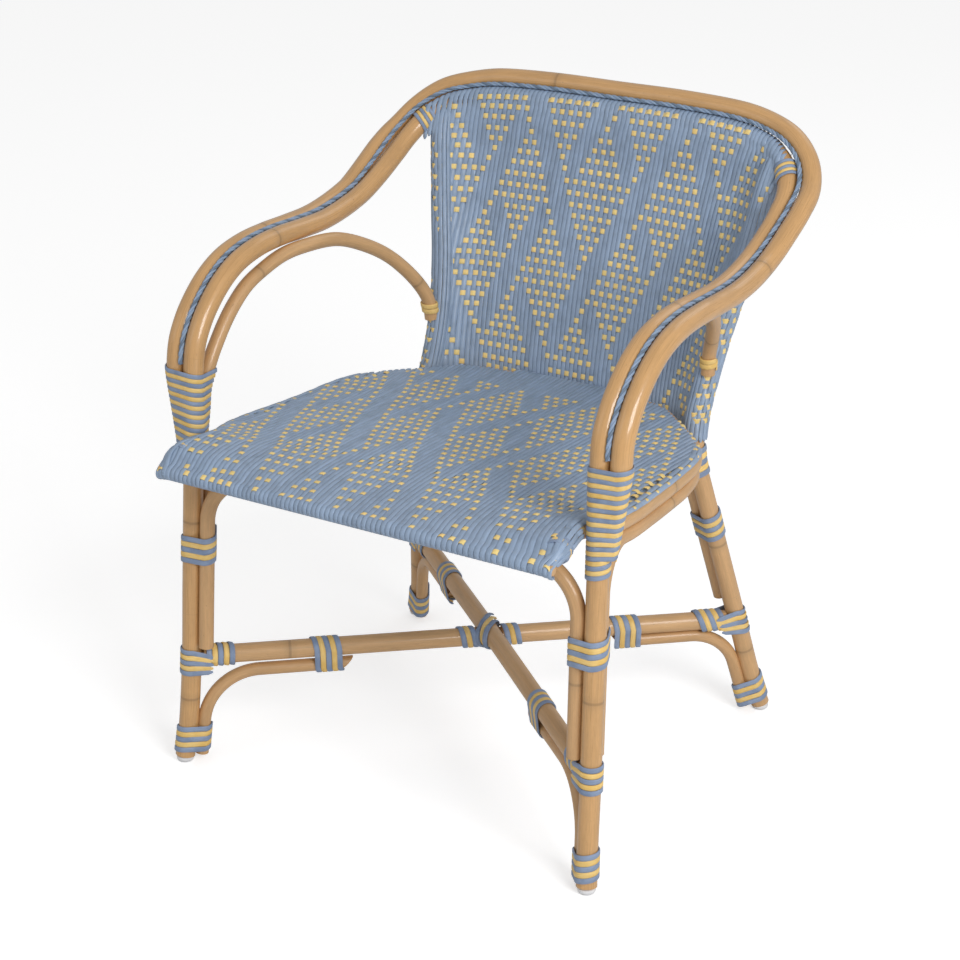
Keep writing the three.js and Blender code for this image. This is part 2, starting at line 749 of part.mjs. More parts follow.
// Front brace: an inverted U beside the inner sides of the front legs and under the seat rim.
const inward = V(-1, 0, 0);
const across = (axis, way) => way.clone().addScaledVector(axis, -way.dot(axis)).normalize();
const braceTop = rimHeight - rimRadius - gap - braceRadius;
const frontOffset = across(legWay, inward).multiplyScalar(hoopRadius + gap + braceRadius);
const frontBraceLeg = [legAt(braceFoot).add(frontOffset), legAt(topWrapHeight).add(frontOffset)];
const extend = (a, b, z) => along(a, b, (z - a.z) / (b.z - a.z));
const frontCorner = extend(...frontBraceLeg, braceTop);
const frontBraceLine = bent(
  [frontBraceLeg[0], frontCorner, mirrored(frontCorner), mirrored(frontBraceLeg[0])],
  [frontBend, frontBend],
);
add("front_brace", pole(frontBraceLine, braceRadius, braceSides), canes);

// Side braces: up behind each front leg, then back under the rim to the rear leg.
const sideWay = V(-Math.sin(sideLean), Math.cos(sideLean), 0);
const sideOffset = across(legWay, sideWay).multiplyScalar(hoopRadius + gap + braceRadius);
const sideLeg = [legAt(braceFoot).add(sideOffset), legAt(topWrapHeight).add(sideOffset)];
const underRim = (share) => {
  const y = rimFront + share * (corner.y - rimFront);
  const i = rimHalf.findIndex((p) => p.y >= y);
  return rimHalf[i].clone().sub(V(0, 0, rimRadius + gap + braceRadius));
};
const sideRun = [...sideRunShares.map(underRim), rearAt(braceTop)];
const sideBendLine = bent([sideLeg[0], extend(...sideLeg, sideRun[0].z), sideRun[0]], [sideBend]);
const sideRunLine = smooth([sideBendLine[sideBendLine.length - 2], ...sideRun]);
const sideBraceLine = [...sideBendLine.slice(0, -2), ...sideRunLine];
const sideBraceKeep = pole(sideBraceLine, braceRadius + gap, braceSides);
addPair("side_brace", largest(pole(sideBraceLine, braceRadius, braceSides).subtract(rearBore)), canes);

// Rear brace: an inverted U beside the inner sides of the rear legs.
const rearWay = rearAt(topWrapHeight).sub(rearAt(braceFoot)).normalize();
const rearInward = V(-Math.cos(rearLean), Math.sin(rearLean), 0);
const rearOffset = across(rearWay, rearInward).multiplyScalar(rearRadius + 2 * gap + braceRadius);
const rearBraceLeg = [rearAt(rearBraceFoot).add(rearOffset), rearAt(topWrapHeight).add(rearOffset)];
const rearCorner = extend(...rearBraceLeg, braceTop);
const rearBraceLine = bent(
  [rearBraceLeg[0], rearCorner, mirrored(rearCorner), mirrored(rearBraceLeg[0])],
  [rearBend, rearBend],
);
add("rear_brace", pole(rearBraceLine, braceRadius, braceSides), canes);

// Woven back: a bowed sheet between the uprights, rolled over them and over the hoop.
const topIndex = innerHalf.length - 1;
const joinIndex = innerHalf.findIndex((p, i) => i > coverFrom && p.x < rearControls[rearControls.length - 1].x);
const topCurve = (u) => {
  const x = Math.abs(u) * innerHalf[joinIndex].x;
  let i = joinIndex;
  while (i < topIndex && innerHalf[i].x > x) i++;
  const p = i > joinIndex && innerHalf[i - 1].x > innerHalf[i].x
    ? along(innerHalf[i - 1], innerHalf[i], (innerHalf[i - 1].x - x) / (innerHalf[i - 1].x - innerHalf[i].x))
    : innerHalf[i].clone();
  return u < 0 ? mirrored(p) : p;
};
const backFoot = rearAt(backBottom);
const backReach = upright.y + backBulge - backFoot.y;
const bottomCurve = (u) =>
  V(u * backFoot.x, backFoot.y + backReach * (1 - Math.abs(u) ** backSquareness), backBottom);
const sideTop = innerHalf[joinIndex].z;
const sideCurve = (v, sign) => {
  const p = v > 0 ? rearAt(sideTop + (backBottom - sideTop) * v) : innerHalf[joinIndex].clone();
  return sign < 0 ? mirrored(p) : p;
};
function backSheetPoint(u, v) {
  const top = topCurve(u);
  const bottom = bottomCurve(u);
  const s = (u + 1) / 2;
  const left = sideCurve(v, -1);
  const right = sideCurve(v, 1);
  const p = top.multiplyScalar(1 - v).addScaledVector(bottom, v);
  p.addScaledVector(left, 1 - s).addScaledVector(right, s);
  p.addScaledVector(topCurve(-1), -(1 - s) * (1 - v)).addScaledVector(topCurve(1), -s * (1 - v));
  return p.addScaledVector(bottomCurve(-1), -(1 - s) * v).addScaledVector(bottomCurve(1), -s * v);
}
const sheetRings = [];
for (let j = 0; j <= backRows; j++) {
  const front = [];
  const rear = [];
  for (let i = 0; i <= backColumns; i++) {
    const u = (2 * i) / backColumns - 1;
    const p = backSheetPoint(u, j / backRows);
    const half = V(0, sheetThickness / 2, 0);
    front.push(p.clone().sub(half));
    rear.push(p.clone().add(half));
  }
  sheetRings.push([...front, ...rear.reverse()]);
}
const backSheet = solidFromSheet(sheetRings);
const rollFrom = shoulderAt + Math.round(spanPoints * rollStartSpanShare);
const topRoll = innerHalf.slice(rollFrom);
const topSleeve = pole(mirrorLine(topRoll), hoopRadius + gap + skin, poleSides);
const sideSleeve = pole(rearLine, sleeveRadius, poleSides).trimByPlane([0, 0, 1], backBottom);
let back = wasm.Manifold.union([backSheet, topSleeve, sideSleeve, reflect(sideSleeve)]);
const outerKeep = pole(outerFull, hoopRadius + gap, poleSides, outerFullKept);
back = back.subtract(hoopBore).subtract(rearBore).subtract(reflect(rearBore)).subtract(outerKeep);
back = back.subtract(arcKeep).subtract(reflect(arcKeep)).subtract(wrapRoom).subtract(reflect(wrapRoom));
back = back.subtract(sideBraceKeep).subtract(reflect(sideBraceKeep));
add("back_weave", largest(back), blue);

// Crossed stretchers, halved into each other where they cross.
const frontJoint = legAt(stretcherHeight);
const rearJoint = rearAt(stretcherHeight);
const flatWay = V(rearJoint.x + frontJoint.x, frontJoint.y - rearJoint.y, 0).normalize();
const lowLine = [mirrored(frontJoint), rearJoint];
lowLine.forEach((p) => (p.z = stretcherHeight));
lowLine[0].z += frontStretcherLift;
const crossing = (() => {
  const share = frontJoint.x / (frontJoint.x + rearJoint.x);
  return along(lowLine[0], lowLine[1], share);
})();
const highEnds = [frontJoint.clone(), mirrored(rearJoint)];
highEnds.forEach((p) => (p.z = stretcherHeight + stretcherLift));
const highMid = crossing.clone();
highMid.z = stretcherHeight + stretcherLift + stretcherArch;
const highLine = smooth([highEnds[0], highMid, highEnds[1]]);
const lapHeight = (stretcherHeight + highMid.z) / 2;
const keepAll = wasm.Manifold.union([hoopBore, rearBore, reflect(rearBore)]);
const lowRoom = pole(lowLine, stretcherRadius + gap, poleSides);
const highRoom = pole(highLine, stretcherRadius + gap, poleSides);
const lowFat = lowRoom.trimByPlane([0, 0, -1], -lapHeight - gap / 2);
const highFat = highRoom.trimByPlane([0, 0, 1], lapHeight - gap / 2);
const lowPole = pole(lowLine, stretcherRadius, poleSides).subtract(keepAll).subtract(highFat);
const highPole = pole(highLine, stretcherRadius, poleSides).subtract(keepAll).subtract(lowFat);
add("stretcher_low", largest(lowPole), canes);
add("stretcher_high", largest(highPole), canes);

// Knees: up beside each leg and along under a stretcher to a slanted end.
function knee(leg, way, at, stretcherZ) {
  const reach = at.radius + gap + kneeRadius;
  const z = stretcherZ - stretcherRadius - gap - kneeRadius;
  const foot = leg(glideHeight).addScaledVector(way, reach);
  const top = leg(z).addScaledVector(way, reach);
  const end = top.clone().addScaledVector(way, at.run - reach);
  const line = bent([foot, top, end], [at.bend]);
  const cut = V(way.x, way.y, -1).normalize();
  const solid = flatFoot(pole(line, kneeRadius, braceSides), kneeFoot)
    .trimByPlane([-cut.x, -cut.y, -cut.z], kneeRadius - cut.dot(end))
    .subtract(keepAll);
  return { solid, line, end };
}
const front = {
  radius: hoopRadius,
  run: frontKneeRun,
  bend: kneeBend,
  fromEnd: frontKneeWrapFromEnd,
  wrapHeight: topWrapHeight,
};
const rear = {
  radius: rearRadius,
  run: rearKneeRun,
  bend: rearKneeBend,
  fromEnd: rearKneeWrapFromEnd,
  wrapHeight: rearTopWrapHeight,
};
const low = { line: lowLine, z: stretcherHeight };
const high = { line: highLine, z: stretcherHeight + stretcherLift };
const frontBraces = [frontBraceLine.slice(0, arcPoints), sideBraceLine];
const rearBraces = [rearBraceLine.slice(0, arcPoints)];
const leftLegAt = (z) => mirrored(legAt(z));
const leftRearAt = (z) => mirrored(rearAt(z));
const corners = [
  { name: "front_left", leg: leftLegAt, to: rearJoint, at: front, on: low, braces: frontBraces },
  { name: "front_right", leg: legAt, to: mirrored(rearJoint), at: front, on: high, braces: frontBraces },
  { name: "rear_right", leg: rearAt, to: mirrored(frontJoint), at: rear, on: low, braces: rearBraces },
  { name: "rear_left", leg: leftRearAt, to: frontJoint, at: rear, on: high, braces: rearBraces },
];
for (const c of corners) {
  const here = c.leg(c.on.z);
  const way = c.to.clone().sub(here);
  way.z = 0;
  way.normalize();
  const bentKnee = knee(c.leg, way, c.at, c.on.z);
  add("knee_" + c.name, bentKnee.solid, canes);
  const fineLeg = [];
  for (let z = 0; z <= braceTop; z += bindPitch) fineLeg.push(c.leg(z));
  const leg = { line: fineLeg, radius: c.at.radius };
  const kneePole = { line: bentKnee.line, radius: kneeRadius };
  const stretcher = { line: c.on.line, radius: stretcherRadius };
  const upAt = (z) => c.leg(z + bindPitch).sub(c.leg(z - bindPitch));
  const foot = binding(c.leg(footWrapHeight), upAt(footWrapHeight), way, [leg, kneePole]);
  add("foot_wrap_" + c.name, winding(foot), blue);
  const kneeMid = bentKnee.end.clone().addScaledVector(way, -c.at.fromEnd);
  const onStretcher = cutBy(c.on.line, { o: kneeMid, z: way }).at;
  add("knee_wrap_" + c.name, winding(binding(onStretcher, way, up, [stretcher, kneePole])), blue);
  const jointMid = here.clone().addScaledVector(way, jointWrapRun);
  const joint = cutBy(c.on.line, { o: jointMid, z: way }).at;
  add("joint_wrap_" + c.name, winding(binding(joint, way, up, [stretcher], jointTurns)), blue);
  const isRight = c.name.endsWith("right");
  const ownSide = (line) => (isRight ? line : line.map(mirrored));
  const braces = c.braces.map((line) => ({ line: ownSide(line), radius: braceRadius }));
  const z = c.at.wrapHeight;
  add("top_wrap_" + c.name, winding(binding(c.leg(z), upAt(z), V(1, 0, 0), [leg, ...braces])), blue);
}

// Seat wraps: round the rear legs, just under the ends of the side braces.
const seatWrapMid = rearAt(rearSeatWrapHeight);
const seatWrapWay = rearAt(rearSeatWrapHeight + bindPitch).sub(rearAt(rearSeatWrapHeight - bindPitch));
const seatWrapPoles = [
  { line: rearLine, radius: rearRadius },
  { line: rearBraceLine.slice(0, arcPoints), radius: braceRadius },
];
const seatBinding = binding(seatWrapMid, seatWrapWay, V(1, 0, 0), seatWrapPoles, seatWrapTurns);
addPair("seat_wrap", winding(seatBinding), blue);

// Crossing wrap: loops across the lap, round both stretchers.
const crossPoles = [{ line: lowLine, radius: stretcherRadius }, { line: highLine, radius: stretcherRadius }];
add("cross_wrap", winding(binding(crossing, V(1, 0, 0), up, crossPoles, crossTurns)), blue);

// Glides under the four feet.
const glideProfile = [
  [0, 0],
  [glideFlat, 0],
  [glideRadius - glideEdge / 2, glideEdge],
  [glideRadius, glideHeight],
  [0, glideHeight],
].map(([x, z]) => new THREE.Vector2(x, z));
const glideSides = 12;
function glideAt(p) {
  const g = new THREE.LatheGeometry(glideProfile, glideSides);
  g.rotateX(Math.PI / 2);
  g.translate(p.x, p.y, 0);
  g.deleteAttribute("normal");
  g.deleteAttribute("uv");
  const merged = mergeVertices(g);
  return manifoldOf(merged.getAttribute("position").array, new Uint32Array(merged.index.array));
}
for (const c of corners) add("glide_" + c.name, glideAt(c.leg(groundGap)), plastic);

// The origin moves under the middle of the outline.
const outline = new THREE.Box3().setFromObject(chair);
const centre = outline.getCenter(V(0, 0, 0));
chair.children.forEach((m) => m.geometry.translate(-centre.x, -centre.y, 0));

console.log("least gap between loops", leastGap.toFixed(2));
if (leastGap <= leastLoopGap) throw new Error("the strips' loops are too close");
let count = 0;
chair.children.forEach((m) => {
  count += m.geometry.index.count / 3;
  console.log(m.name, m.geometry.index.count / 3);
});
console.log("triangles", count);

export default chair;
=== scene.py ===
# Rattan bistro armchair: bent cane poles, two-colour strip bindings, woven seat and back.
# Lengths are in millimetres until a mesh is made, +Z up, and the front faces -Y.
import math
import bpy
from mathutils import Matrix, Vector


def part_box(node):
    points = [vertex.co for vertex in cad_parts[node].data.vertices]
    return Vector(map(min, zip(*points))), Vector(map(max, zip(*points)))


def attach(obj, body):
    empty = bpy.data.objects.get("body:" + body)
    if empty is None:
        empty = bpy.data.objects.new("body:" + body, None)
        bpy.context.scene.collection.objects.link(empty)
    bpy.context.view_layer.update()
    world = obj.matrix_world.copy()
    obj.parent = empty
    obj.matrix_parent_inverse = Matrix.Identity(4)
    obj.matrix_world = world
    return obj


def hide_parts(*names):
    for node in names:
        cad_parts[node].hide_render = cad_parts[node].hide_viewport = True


bl_info = {
    "name": "Rattan Bistro Armchair",
    "version": (1, 0, 0),
    "blender": (4, 5, 0),
    "location": "View3D > Sidebar > Armchair",
    "description": "Cane poles, strip bindings and woven strips laid over the packed chair",
    "category": "Add Mesh",
}

import bpy
import numpy as np
from mathutils import Matrix

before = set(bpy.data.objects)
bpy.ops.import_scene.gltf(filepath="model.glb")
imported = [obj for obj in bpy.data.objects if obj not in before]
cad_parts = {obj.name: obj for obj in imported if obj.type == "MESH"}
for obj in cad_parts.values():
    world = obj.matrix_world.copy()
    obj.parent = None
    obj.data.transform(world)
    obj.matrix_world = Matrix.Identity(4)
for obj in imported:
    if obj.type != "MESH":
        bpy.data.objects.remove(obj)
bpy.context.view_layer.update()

# ---------------------------------------------------------------- sizes of the chair's lines
GAP, SKIN, SHEET = 0.3, 3.3, 5.0  # between pieces, the weave over a pole, the weave of the back
COVER = GAP + SKIN
HOOP, REAR, ARC, BRACE, STRETCHER, KNEE = 12.8, 12.3, 9.2, 9.6, 12.2, 8.5  # radii of the poles
RIM, RAIL, CORD, SCARF_TIP = 12.0, 6.2, 3.1, 3.2
CORD_LAY = 26  # length of one turn of the cord's strands
SPAN = 14  # steps from one point of a table to the next

ARM_HALF, HOOP_REACH, HOOP_TOP = 284.5, 582, 776
LEG_SHARES = [(1.054, 0, 0), (1.041, 0.012, 0.059), (1.03, 0.029, 0.178)]
ARM_SHARES = [
    (1, 0.076, 0.716), (1, 0.101, 0.754), (1, 0.136, 0.784), (1, 0.182, 0.811),
    (1, 0.235, 0.83), (0.999, 0.302, 0.841), (0.998, 0.38, 0.844), (0.998, 0.471, 0.841),
    (0.998, 0.555, 0.84), (0.998, 0.636, 0.847), (0.996, 0.708, 0.86), (0.996, 0.778, 0.881),
    (0.993, 0.84, 0.905), (0.981, 0.892, 0.93), (0.938, 0.935, 0.957), (0.858, 0.967, 0.977),
    (0.745, 0.99, 0.988), (0.633, 0.997, 0.995), (0.351, 1, 1), (0, 1, 1),
]
OUTWARD = [(1, 0, 0)] * 13 + [
    (1, 0, 0.05), (1, 0, 0.08), (1, 0, 0.1), (1, 0.1, 0.15), (0.97, 0.2, 0.3),
    (0.78, 0.55, 0.5), (0.58, 0.75, 0.58), (0.38, 0.78, 0.64), (0.2, 0.68, 0.75),
    (0.08, 0.6, 0.82), (0, 0.54, 0.84), (0, 0.54, 0.84),
]
REAR_HALF, REAR_REACH, REAR_TOP = 280, 525, 735
REAR_SHARES = [
    (1, 1, 0), (0.957, 0.979, 0.065), (0.775, 0.838, 0.476), (0.746, 0.833, 0.517),
    (0.727, 0.844, 0.555), (0.72, 0.867, 0.599), (0.725, 0.895, 0.646), (0.739, 0.924, 0.701),
    (0.771, 0.96, 0.776), (0.811, 0.992, 0.846), (0.839, 1.015, 0.912), (0.861, 1.034, 0.973),
    (0.875, 1.051, 1.007), (0.885, 1.075, 1.035),
]
ARCH_RISE = 630
ARC_SHARES = [
    (1.0, 0.143, 0.851), (1.0, 0.170, 0.881), (1.0, 0.204, 0.913), (0.998, 0.240, 0.941),
    (0.995, 0.288, 0.968), (0.984, 0.350, 0.989), (0.967, 0.418, 1.005), (0.943, 0.495, 1.009),
    (0.914, 0.602, 1.001), (0.879, 0.695, 0.971), (0.844, 0.773, 0.932), (0.801, 0.825, 0.889),
    (0.766, 0.857, 0.851), (0.745, 0.872, 0.822), (0.738, 0.878, 0.794), (0.735, 0.880, 0.775),
]
RIM_SHARES = [
    (1.033, 0, 0.42), (1.03, 0.035, 0.8), (1.016, 0.083, 1), (0.992, 0.15, 0.97),
    (0.99, 0.203, 0.86), (1.044, 0.29, 0.54), (1.053, 0.395, 0.34), (1.039, 0.508, 0.18),
    (1.024, 0.624, 0.06), (1.008, 0.737, 0.02), (0.991, 0.792, 0), (0.962, 0.835, 0),
    (0.922, 0.874, 0), (0.86, 0.917, 0), (0.783, 0.961, 0),
]
RIM_REAR_SHARES = [(0.565, 0.66), (0.38, 0.92), (0.19, 0.99)]
SIDE_RUN_SHARES = [0.33, 0.395, 0.508, 0.624, 0.737, 0.835, 0.917]
STRAIGHT = (0.25, 0.5, 0.75)
ARM_PITCH = 5.85
ARM_PAIRS = 10
ARM_WRAP_LOW = 413
ARM_WRAP_HIGH = ARM_WRAP_LOW + ARM_PAIRS * 2 * ARM_PITCH
RING_TOP = 506  # height of the ring on the arc's rear end
SEAT_TOP, RIM_RISE, RAIL_FORWARD, RAIL_HALF = 437, 22, 45, 275
BACK_BOTTOM, BACK_BULGE = 405, 38
FOOT_CUT = 8.3  # the poles end here, on the glides
BRACE_LOW, REAR_BRACE_LOW, BRACE_HIGH = 165, 171, 298
BRACE_BEND, SIDE_BEND = 66, 52
BRACE_END = 26  # points of a brace up to the end of its first bend
FRONT_TURN, REAR_TURN, CORNER_TURN = 0.26, 0.375, 0.93  # which side of its leg a brace is on
STRETCHER_HEIGHT, STRETCHER_STEP = 142, 4
BIND_PITCH = 7.2
STRIP_LIFT = 0.35  # between a strip and its pole
VIEW_AZIMUTH, VIEW_HEIGHT = math.radians(31.6), math.radians(22.8)
VIEW_DISTANCE, VIEW_TARGET = 2920, (0, 248, 373)
MIRROR = np.array([-1.0, 1.0, 1.0])
UP = np.array([0.0, 0.0, 1.0])

A = np.array


def unit(v):
    return v / np.linalg.norm(v)


def rows(shares, size):
    return A(shares, float) * A(size, float)


def smooth_line(controls):
    """A centripetal curve through its points, with SPAN steps from one to the next."""
    c = A(controls, float)
    line = []
    for i in range(len(c) - 1):
        p1, p2 = c[i], c[i + 1]
        p0 = c[i - 1] if i else 2 * c[0] - c[1]
        p3 = c[i + 2] if i + 2 < len(c) else 2 * c[-1] - c[-2]
        d0, d1, d2 = (((b - a) @ (b - a)) ** 0.25 for a, b in ((p0, p1), (p1, p2), (p2, p3)))
        t1 = ((p1 - p0) / d0 - (p2 - p0) / (d0 + d1) + (p2 - p1) / d1) * d1
        t2 = ((p2 - p1) / d1 - (p3 - p1) / (d1 + d2) + (p3 - p2) / d2) * d1
        for w in A(range(SPAN)) / SPAN:
            cubic = (2 * p1 - 2 * p2 + t1 + t2) * w**3 + (3 * p2 - 3 * p1 - 2 * t1 - t2) * w * w
            line.append(p1 + t1 * w + cubic)
    return A([*line, c[-1]])


def mirror_line(half):
    return np.vstack([half, half[-2::-1] * MIRROR])


def at_height(line, z):
    for a, b in zip(line[:-1], line[1:]):
        if b[2] >= z and b[2] > a[2]:
            return a + (b - a) * (z - a[2]) / (b[2] - a[2])
    return line[-1].copy()


def at_depth(line, y):
    i = int(np.argmax(line[:, 1] >= y))
    return line[i]


def bent_line(corners, radii):
    """Straight runs joined by round bends."""
    line = [A(corners[0])]
    for corner, before, after, radius in zip(corners[1:-1], corners[:-2], corners[2:], radii):
        a, b = unit(before - corner), unit(after - corner)
        half = math.acos(max(-1, min(1, a @ b))) / 2
        centre = corner + unit(a + b) * radius / math.sin(half)
        start = corner + a * radius / math.tan(half) - centre
        side = unit(np.cross(unit(np.cross(start, b)), start))
        turn = math.pi - 2 * half
        for k in range(25):
            angle = turn * k / 24
            line.append(centre + start * math.cos(angle) + side * radius * math.sin(angle))
    return A([*line, corners[-1]])


def spaced(line, step):
    """The same line with points no further apart than step."""
    out = [line[0]]
    for a, b in zip(line[:-1], line[1:]):
        n = max(1, math.ceil(np.linalg.norm(b - a) / step))
        out += [a + (b - a) * k / n for k in range(1, n + 1)]
    return A(out)


def tangents(line):
    t = np.empty_like(line)
    t[1:-1] = line[2:] - line[:-2]
    t[0], t[-1] = line[1] - line[0], line[-1] - line[-2]
    return t / np.linalg.norm(t, axis=1)[:, None]


def lengths(line):
    return np.concatenate([[0], np.cumsum(np.linalg.norm(np.diff(line, axis=0), axis=1))])


class Lines:
    """The middle lines of all poles, as in the part's own tables."""


def chair_lines():
    g = Lines()
    to_hoop = (ARM_HALF, HOOP_REACH, HOOP_TOP)
    leg, arm = rows(LEG_SHARES, to_hoop), rows(ARM_SHARES, to_hoop)
    half = A([*leg, *[leg[2] + (arm[0] - leg[2]) * s for s in STRAIGHT], *arm])
    full = smooth_line([*half, *(half[-2::-1] * MIRROR)])
    g.inner = full[: (len(full) + 1) // 2]
    g.leg = lambda z: at_height(g.inner, z)
    g.shoulder = (len(half) - 6) * SPAN
    g.cover_from, g.cover_to = g.shoulder - 4 * SPAN, g.shoulder - 2 * SPAN
    way = tangents(full)[: len(g.inner)]
    at = np.arange(len(g.inner)) / SPAN
    out = A([np.interp(at, range(len(OUTWARD)), A(OUTWARD)[:, k]) for k in range(3)]).T
    out -= way * (out * way).sum(1)[:, None]
    g.outward = out / np.linalg.norm(out, axis=1)[:, None]
    index = np.arange(len(g.inner))
    g.cover = np.clip((index - g.cover_from) / (g.cover_to - g.cover_from), 0, 1)
    g.spacing = 2 * HOOP + GAP + g.cover * (SKIN + GAP)
    z = g.inner[:, 2]
    share = np.clip((z - ARM_WRAP_LOW) / (ARM_WRAP_HIGH - ARM_WRAP_LOW), 0, 1)
    g.outer_radius = SCARF_TIP + (HOOP - SCARF_TIP) * share
    g.scarf = int(np.argmax(z > ARM_WRAP_LOW + ARM_PITCH))
    off = g.spacing - HOOP + g.outer_radius
    g.outer = (g.inner + g.outward * off[:, None])[g.scarf:]
    g.outer_radius = g.outer_radius[g.scarf:]
    g.cord_start = int(np.argmax(z > ARM_WRAP_HIGH + 2.1))
    to_inner = HOOP + g.cover * COVER + GAP + CORD
    to_outer = HOOP + GAP + CORD
    run = (g.spacing**2 + to_inner**2 - to_outer**2) / (2 * g.spacing)
    rise = np.sqrt(to_inner**2 - run**2)
    normal = np.cross(g.outward, way)
    g.cord = (g.inner + g.outward * run[:, None] + normal * rise[:, None])[g.cord_start:]
    g.cord_up = normal[g.cord_start:]

    rear = rows(REAR_SHARES, (REAR_HALF, REAR_REACH, REAR_TOP))
    run = [rear[1] + (rear[2] - rear[1]) * s for s in STRAIGHT]
    g.rear = smooth_line([*rear[:2], *run, *rear[2:]])
    g.rear_at = lambda z: at_height(g.rear, z)
    g.rear_end = rear[-1]

    tail = []
    for s in (0.08, 0.3, 0.55, 0.8):
        z = ARM_WRAP_LOW + s * (ARM_WRAP_HIGH - ARM_WRAP_LOW)
        tail.append(g.leg(z) + A([0, HOOP + 2 * GAP + SCARF_TIP + (ARC - SCARF_TIP) * s, 0]))
    g.arc = smooth_line([*tail, *rows(ARC_SHARES, (ARM_HALF, REAR_REACH, ARCH_RISE))])
    share = np.clip((g.arc[:, 2] - ARM_WRAP_LOW) / (ARM_WRAP_HIGH - ARM_WRAP_LOW), 0, 1)
    tapered = SCARF_TIP + (ARC - SCARF_TIP) * share
    g.arc_radius = np.where(np.arange(len(g.arc)) < 0.3 * len(g.arc), tapered, ARC)

    g.rim_height = SEAT_TOP - COVER - RIM
    at_leg = g.leg(g.rim_height)[0] - HOOP - 0.5 - 2.1 - 3 * GAP - RIM
    g.upright = g.rear_at(g.rim_height)
    reach = REAR + 2 * GAP + SKIN + COVER + RIM + GAP
    corner = g.upright - A([math.cos(CORNER_TURN), math.sin(CORNER_TURN), 0]) * reach
    g.sheet_rise = (HOOP_REACH - g.upright[1] - BACK_BULGE) / (HOOP_TOP - BACK_BOTTOM)
    mid = g.upright[1] + BACK_BULGE + (g.rim_height - BACK_BOTTOM) * g.sheet_rise - SHEET / 2
    g.rim_rear = mid - GAP - COVER - RIM
    g.rim_front = -RAIL_FORWARD
    side = [A([at_leg * x, g.rim_front + y * (corner[1] - g.rim_front), g.rim_height + z * RIM_RISE])
            for x, y, z in RIM_SHARES]
    rear_run = [A([at_leg * x, corner[1] + y * (g.rim_rear - corner[1]), g.rim_height])
                for x, y in RIM_REAR_SHARES]
    middle = A([0, g.rim_rear, g.rim_height])
    g.rim = smooth_line([*side, corner, *rear_run, middle, rear_run[-1] * MIRROR])[:-SPAN]
    g.rail_height = side[0][2]
    g.front_lift = g.rail_height + RAIL - RIM

    g.brace_top = g.rim_height - RIM - GAP - BRACE
    leg_way = unit(g.leg(ARM_WRAP_LOW) - g.leg(BRACE_LOW))

    def across(axis, way):
        return unit(way - axis * (way @ axis))

    def carried(a, b, z):
        return a + (b - a) * (z - a[2]) / (b[2] - a[2])

    offset = across(leg_way, A([-1.0, 0, 0])) * (HOOP + GAP + BRACE)
    low, high = g.leg(BRACE_LOW) + offset, g.leg(BRACE_HIGH) + offset
    top = carried(low, high, g.brace_top)
    g.front_brace = bent_line([low, top, top * MIRROR, low * MIRROR], [BRACE_BEND, BRACE_BEND])
    offset = across(leg_way, A([-math.sin(FRONT_TURN), math.cos(FRONT_TURN), 0])) * (HOOP + GAP + BRACE)
    low, high = g.leg(BRACE_LOW) + offset, g.leg(BRACE_HIGH) + offset
    under = [at_depth(g.rim, g.rim_front + s * (corner[1] - g.rim_front)) - UP * (RIM + GAP + BRACE)
             for s in SIDE_RUN_SHARES]
    under.append(g.rear_at(g.brace_top))
    bend = bent_line([low, carried(low, high, under[0][2]), under[0]], [SIDE_BEND])
    g.side_brace = np.vstack([bend[:-2], smooth_line([bend[-2], *under])])
    rear_way = unit(g.rear_at(BRACE_HIGH) - g.rear_at(BRACE_LOW))
    away = A([-math.cos(REAR_TURN), math.sin(REAR_TURN), 0])
    offset = across(rear_way, away) * (REAR + 2 * GAP + BRACE)
    low, high = g.rear_at(REAR_BRACE_LOW) + offset, g.rear_at(BRACE_HIGH) + offset
    top = carried(low, high, g.brace_top)
    g.rear_brace = bent_line([low, top, top * MIRROR, low * MIRROR], [BRACE_BEND, BRACE_BEND])

    front_joint, rear_joint = g.leg(STRETCHER_HEIGHT), g.rear_at(STRETCHER_HEIGHT)
    g.front_joint, g.rear_joint = front_joint, rear_joint
    ends = A([front_joint * MIRROR, rear_joint])
    ends[:, 2] = STRETCHER_HEIGHT
    ends[0, 2] += STRETCHER_STEP
    g.low = spaced(ends, 8)
    share = front_joint[0] / (front_joint[0] + rear_joint[0])
    g.crossing = ends[0] + (ends[1] - ends[0]) * share
    middle = g.crossing.copy()
    middle[2] = STRETCHER_HEIGHT + 2 * STRETCHER_STEP
    ends = A([front_joint, rear_joint * MIRROR])
    ends[:, 2] = STRETCHER_HEIGHT + STRETCHER_STEP
    g.high = smooth_line([ends[0], middle, ends[1]])
    return g


LINES = chair_lines()


def packed_shift():
    """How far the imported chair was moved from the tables' origin."""
    low, high = (A(c) * 1000 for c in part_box("glide_front_right"))
    foot = LINES.leg(FOOT_CUT)
    return A([0, (low[1] + high[1]) / 2 - foot[1], 0])


SHIFT = packed_shift()


# ---------------------------------------------------------------- meshes
def tube(line, radius, sides=20):
    """Rings round a line; radius is one number or one for each point."""
    radius = np.broadcast_to(np.asarray(radius, float), (len(line),))
    way = tangents(line)
    side = A([1.0, 0, 0]) if abs(way[0][2]) > abs(way[0][0]) else UP
    turned = []
    for t in way:
        side = unit(side - t * (side @ t))
        turned.append(side)
    side = A(turned)
    other = np.cross(way, side)
    angle = np.arange(sides) * 2 * math.pi / sides
    c, s = np.cos(angle), np.sin(angle)
    ring = side[:, None] * c[None, :, None] + other[:, None] * s[None, :, None]
    points = line[:, None] + ring * radius[:, None, None]
    run = lengths(line)
    lay = np.empty_like(points)
    lay[..., 0] = radius[:, None] * c
    lay[..., 1] = radius[:, None] * s
    lay[..., 2] = run[:, None]
    return points, lay


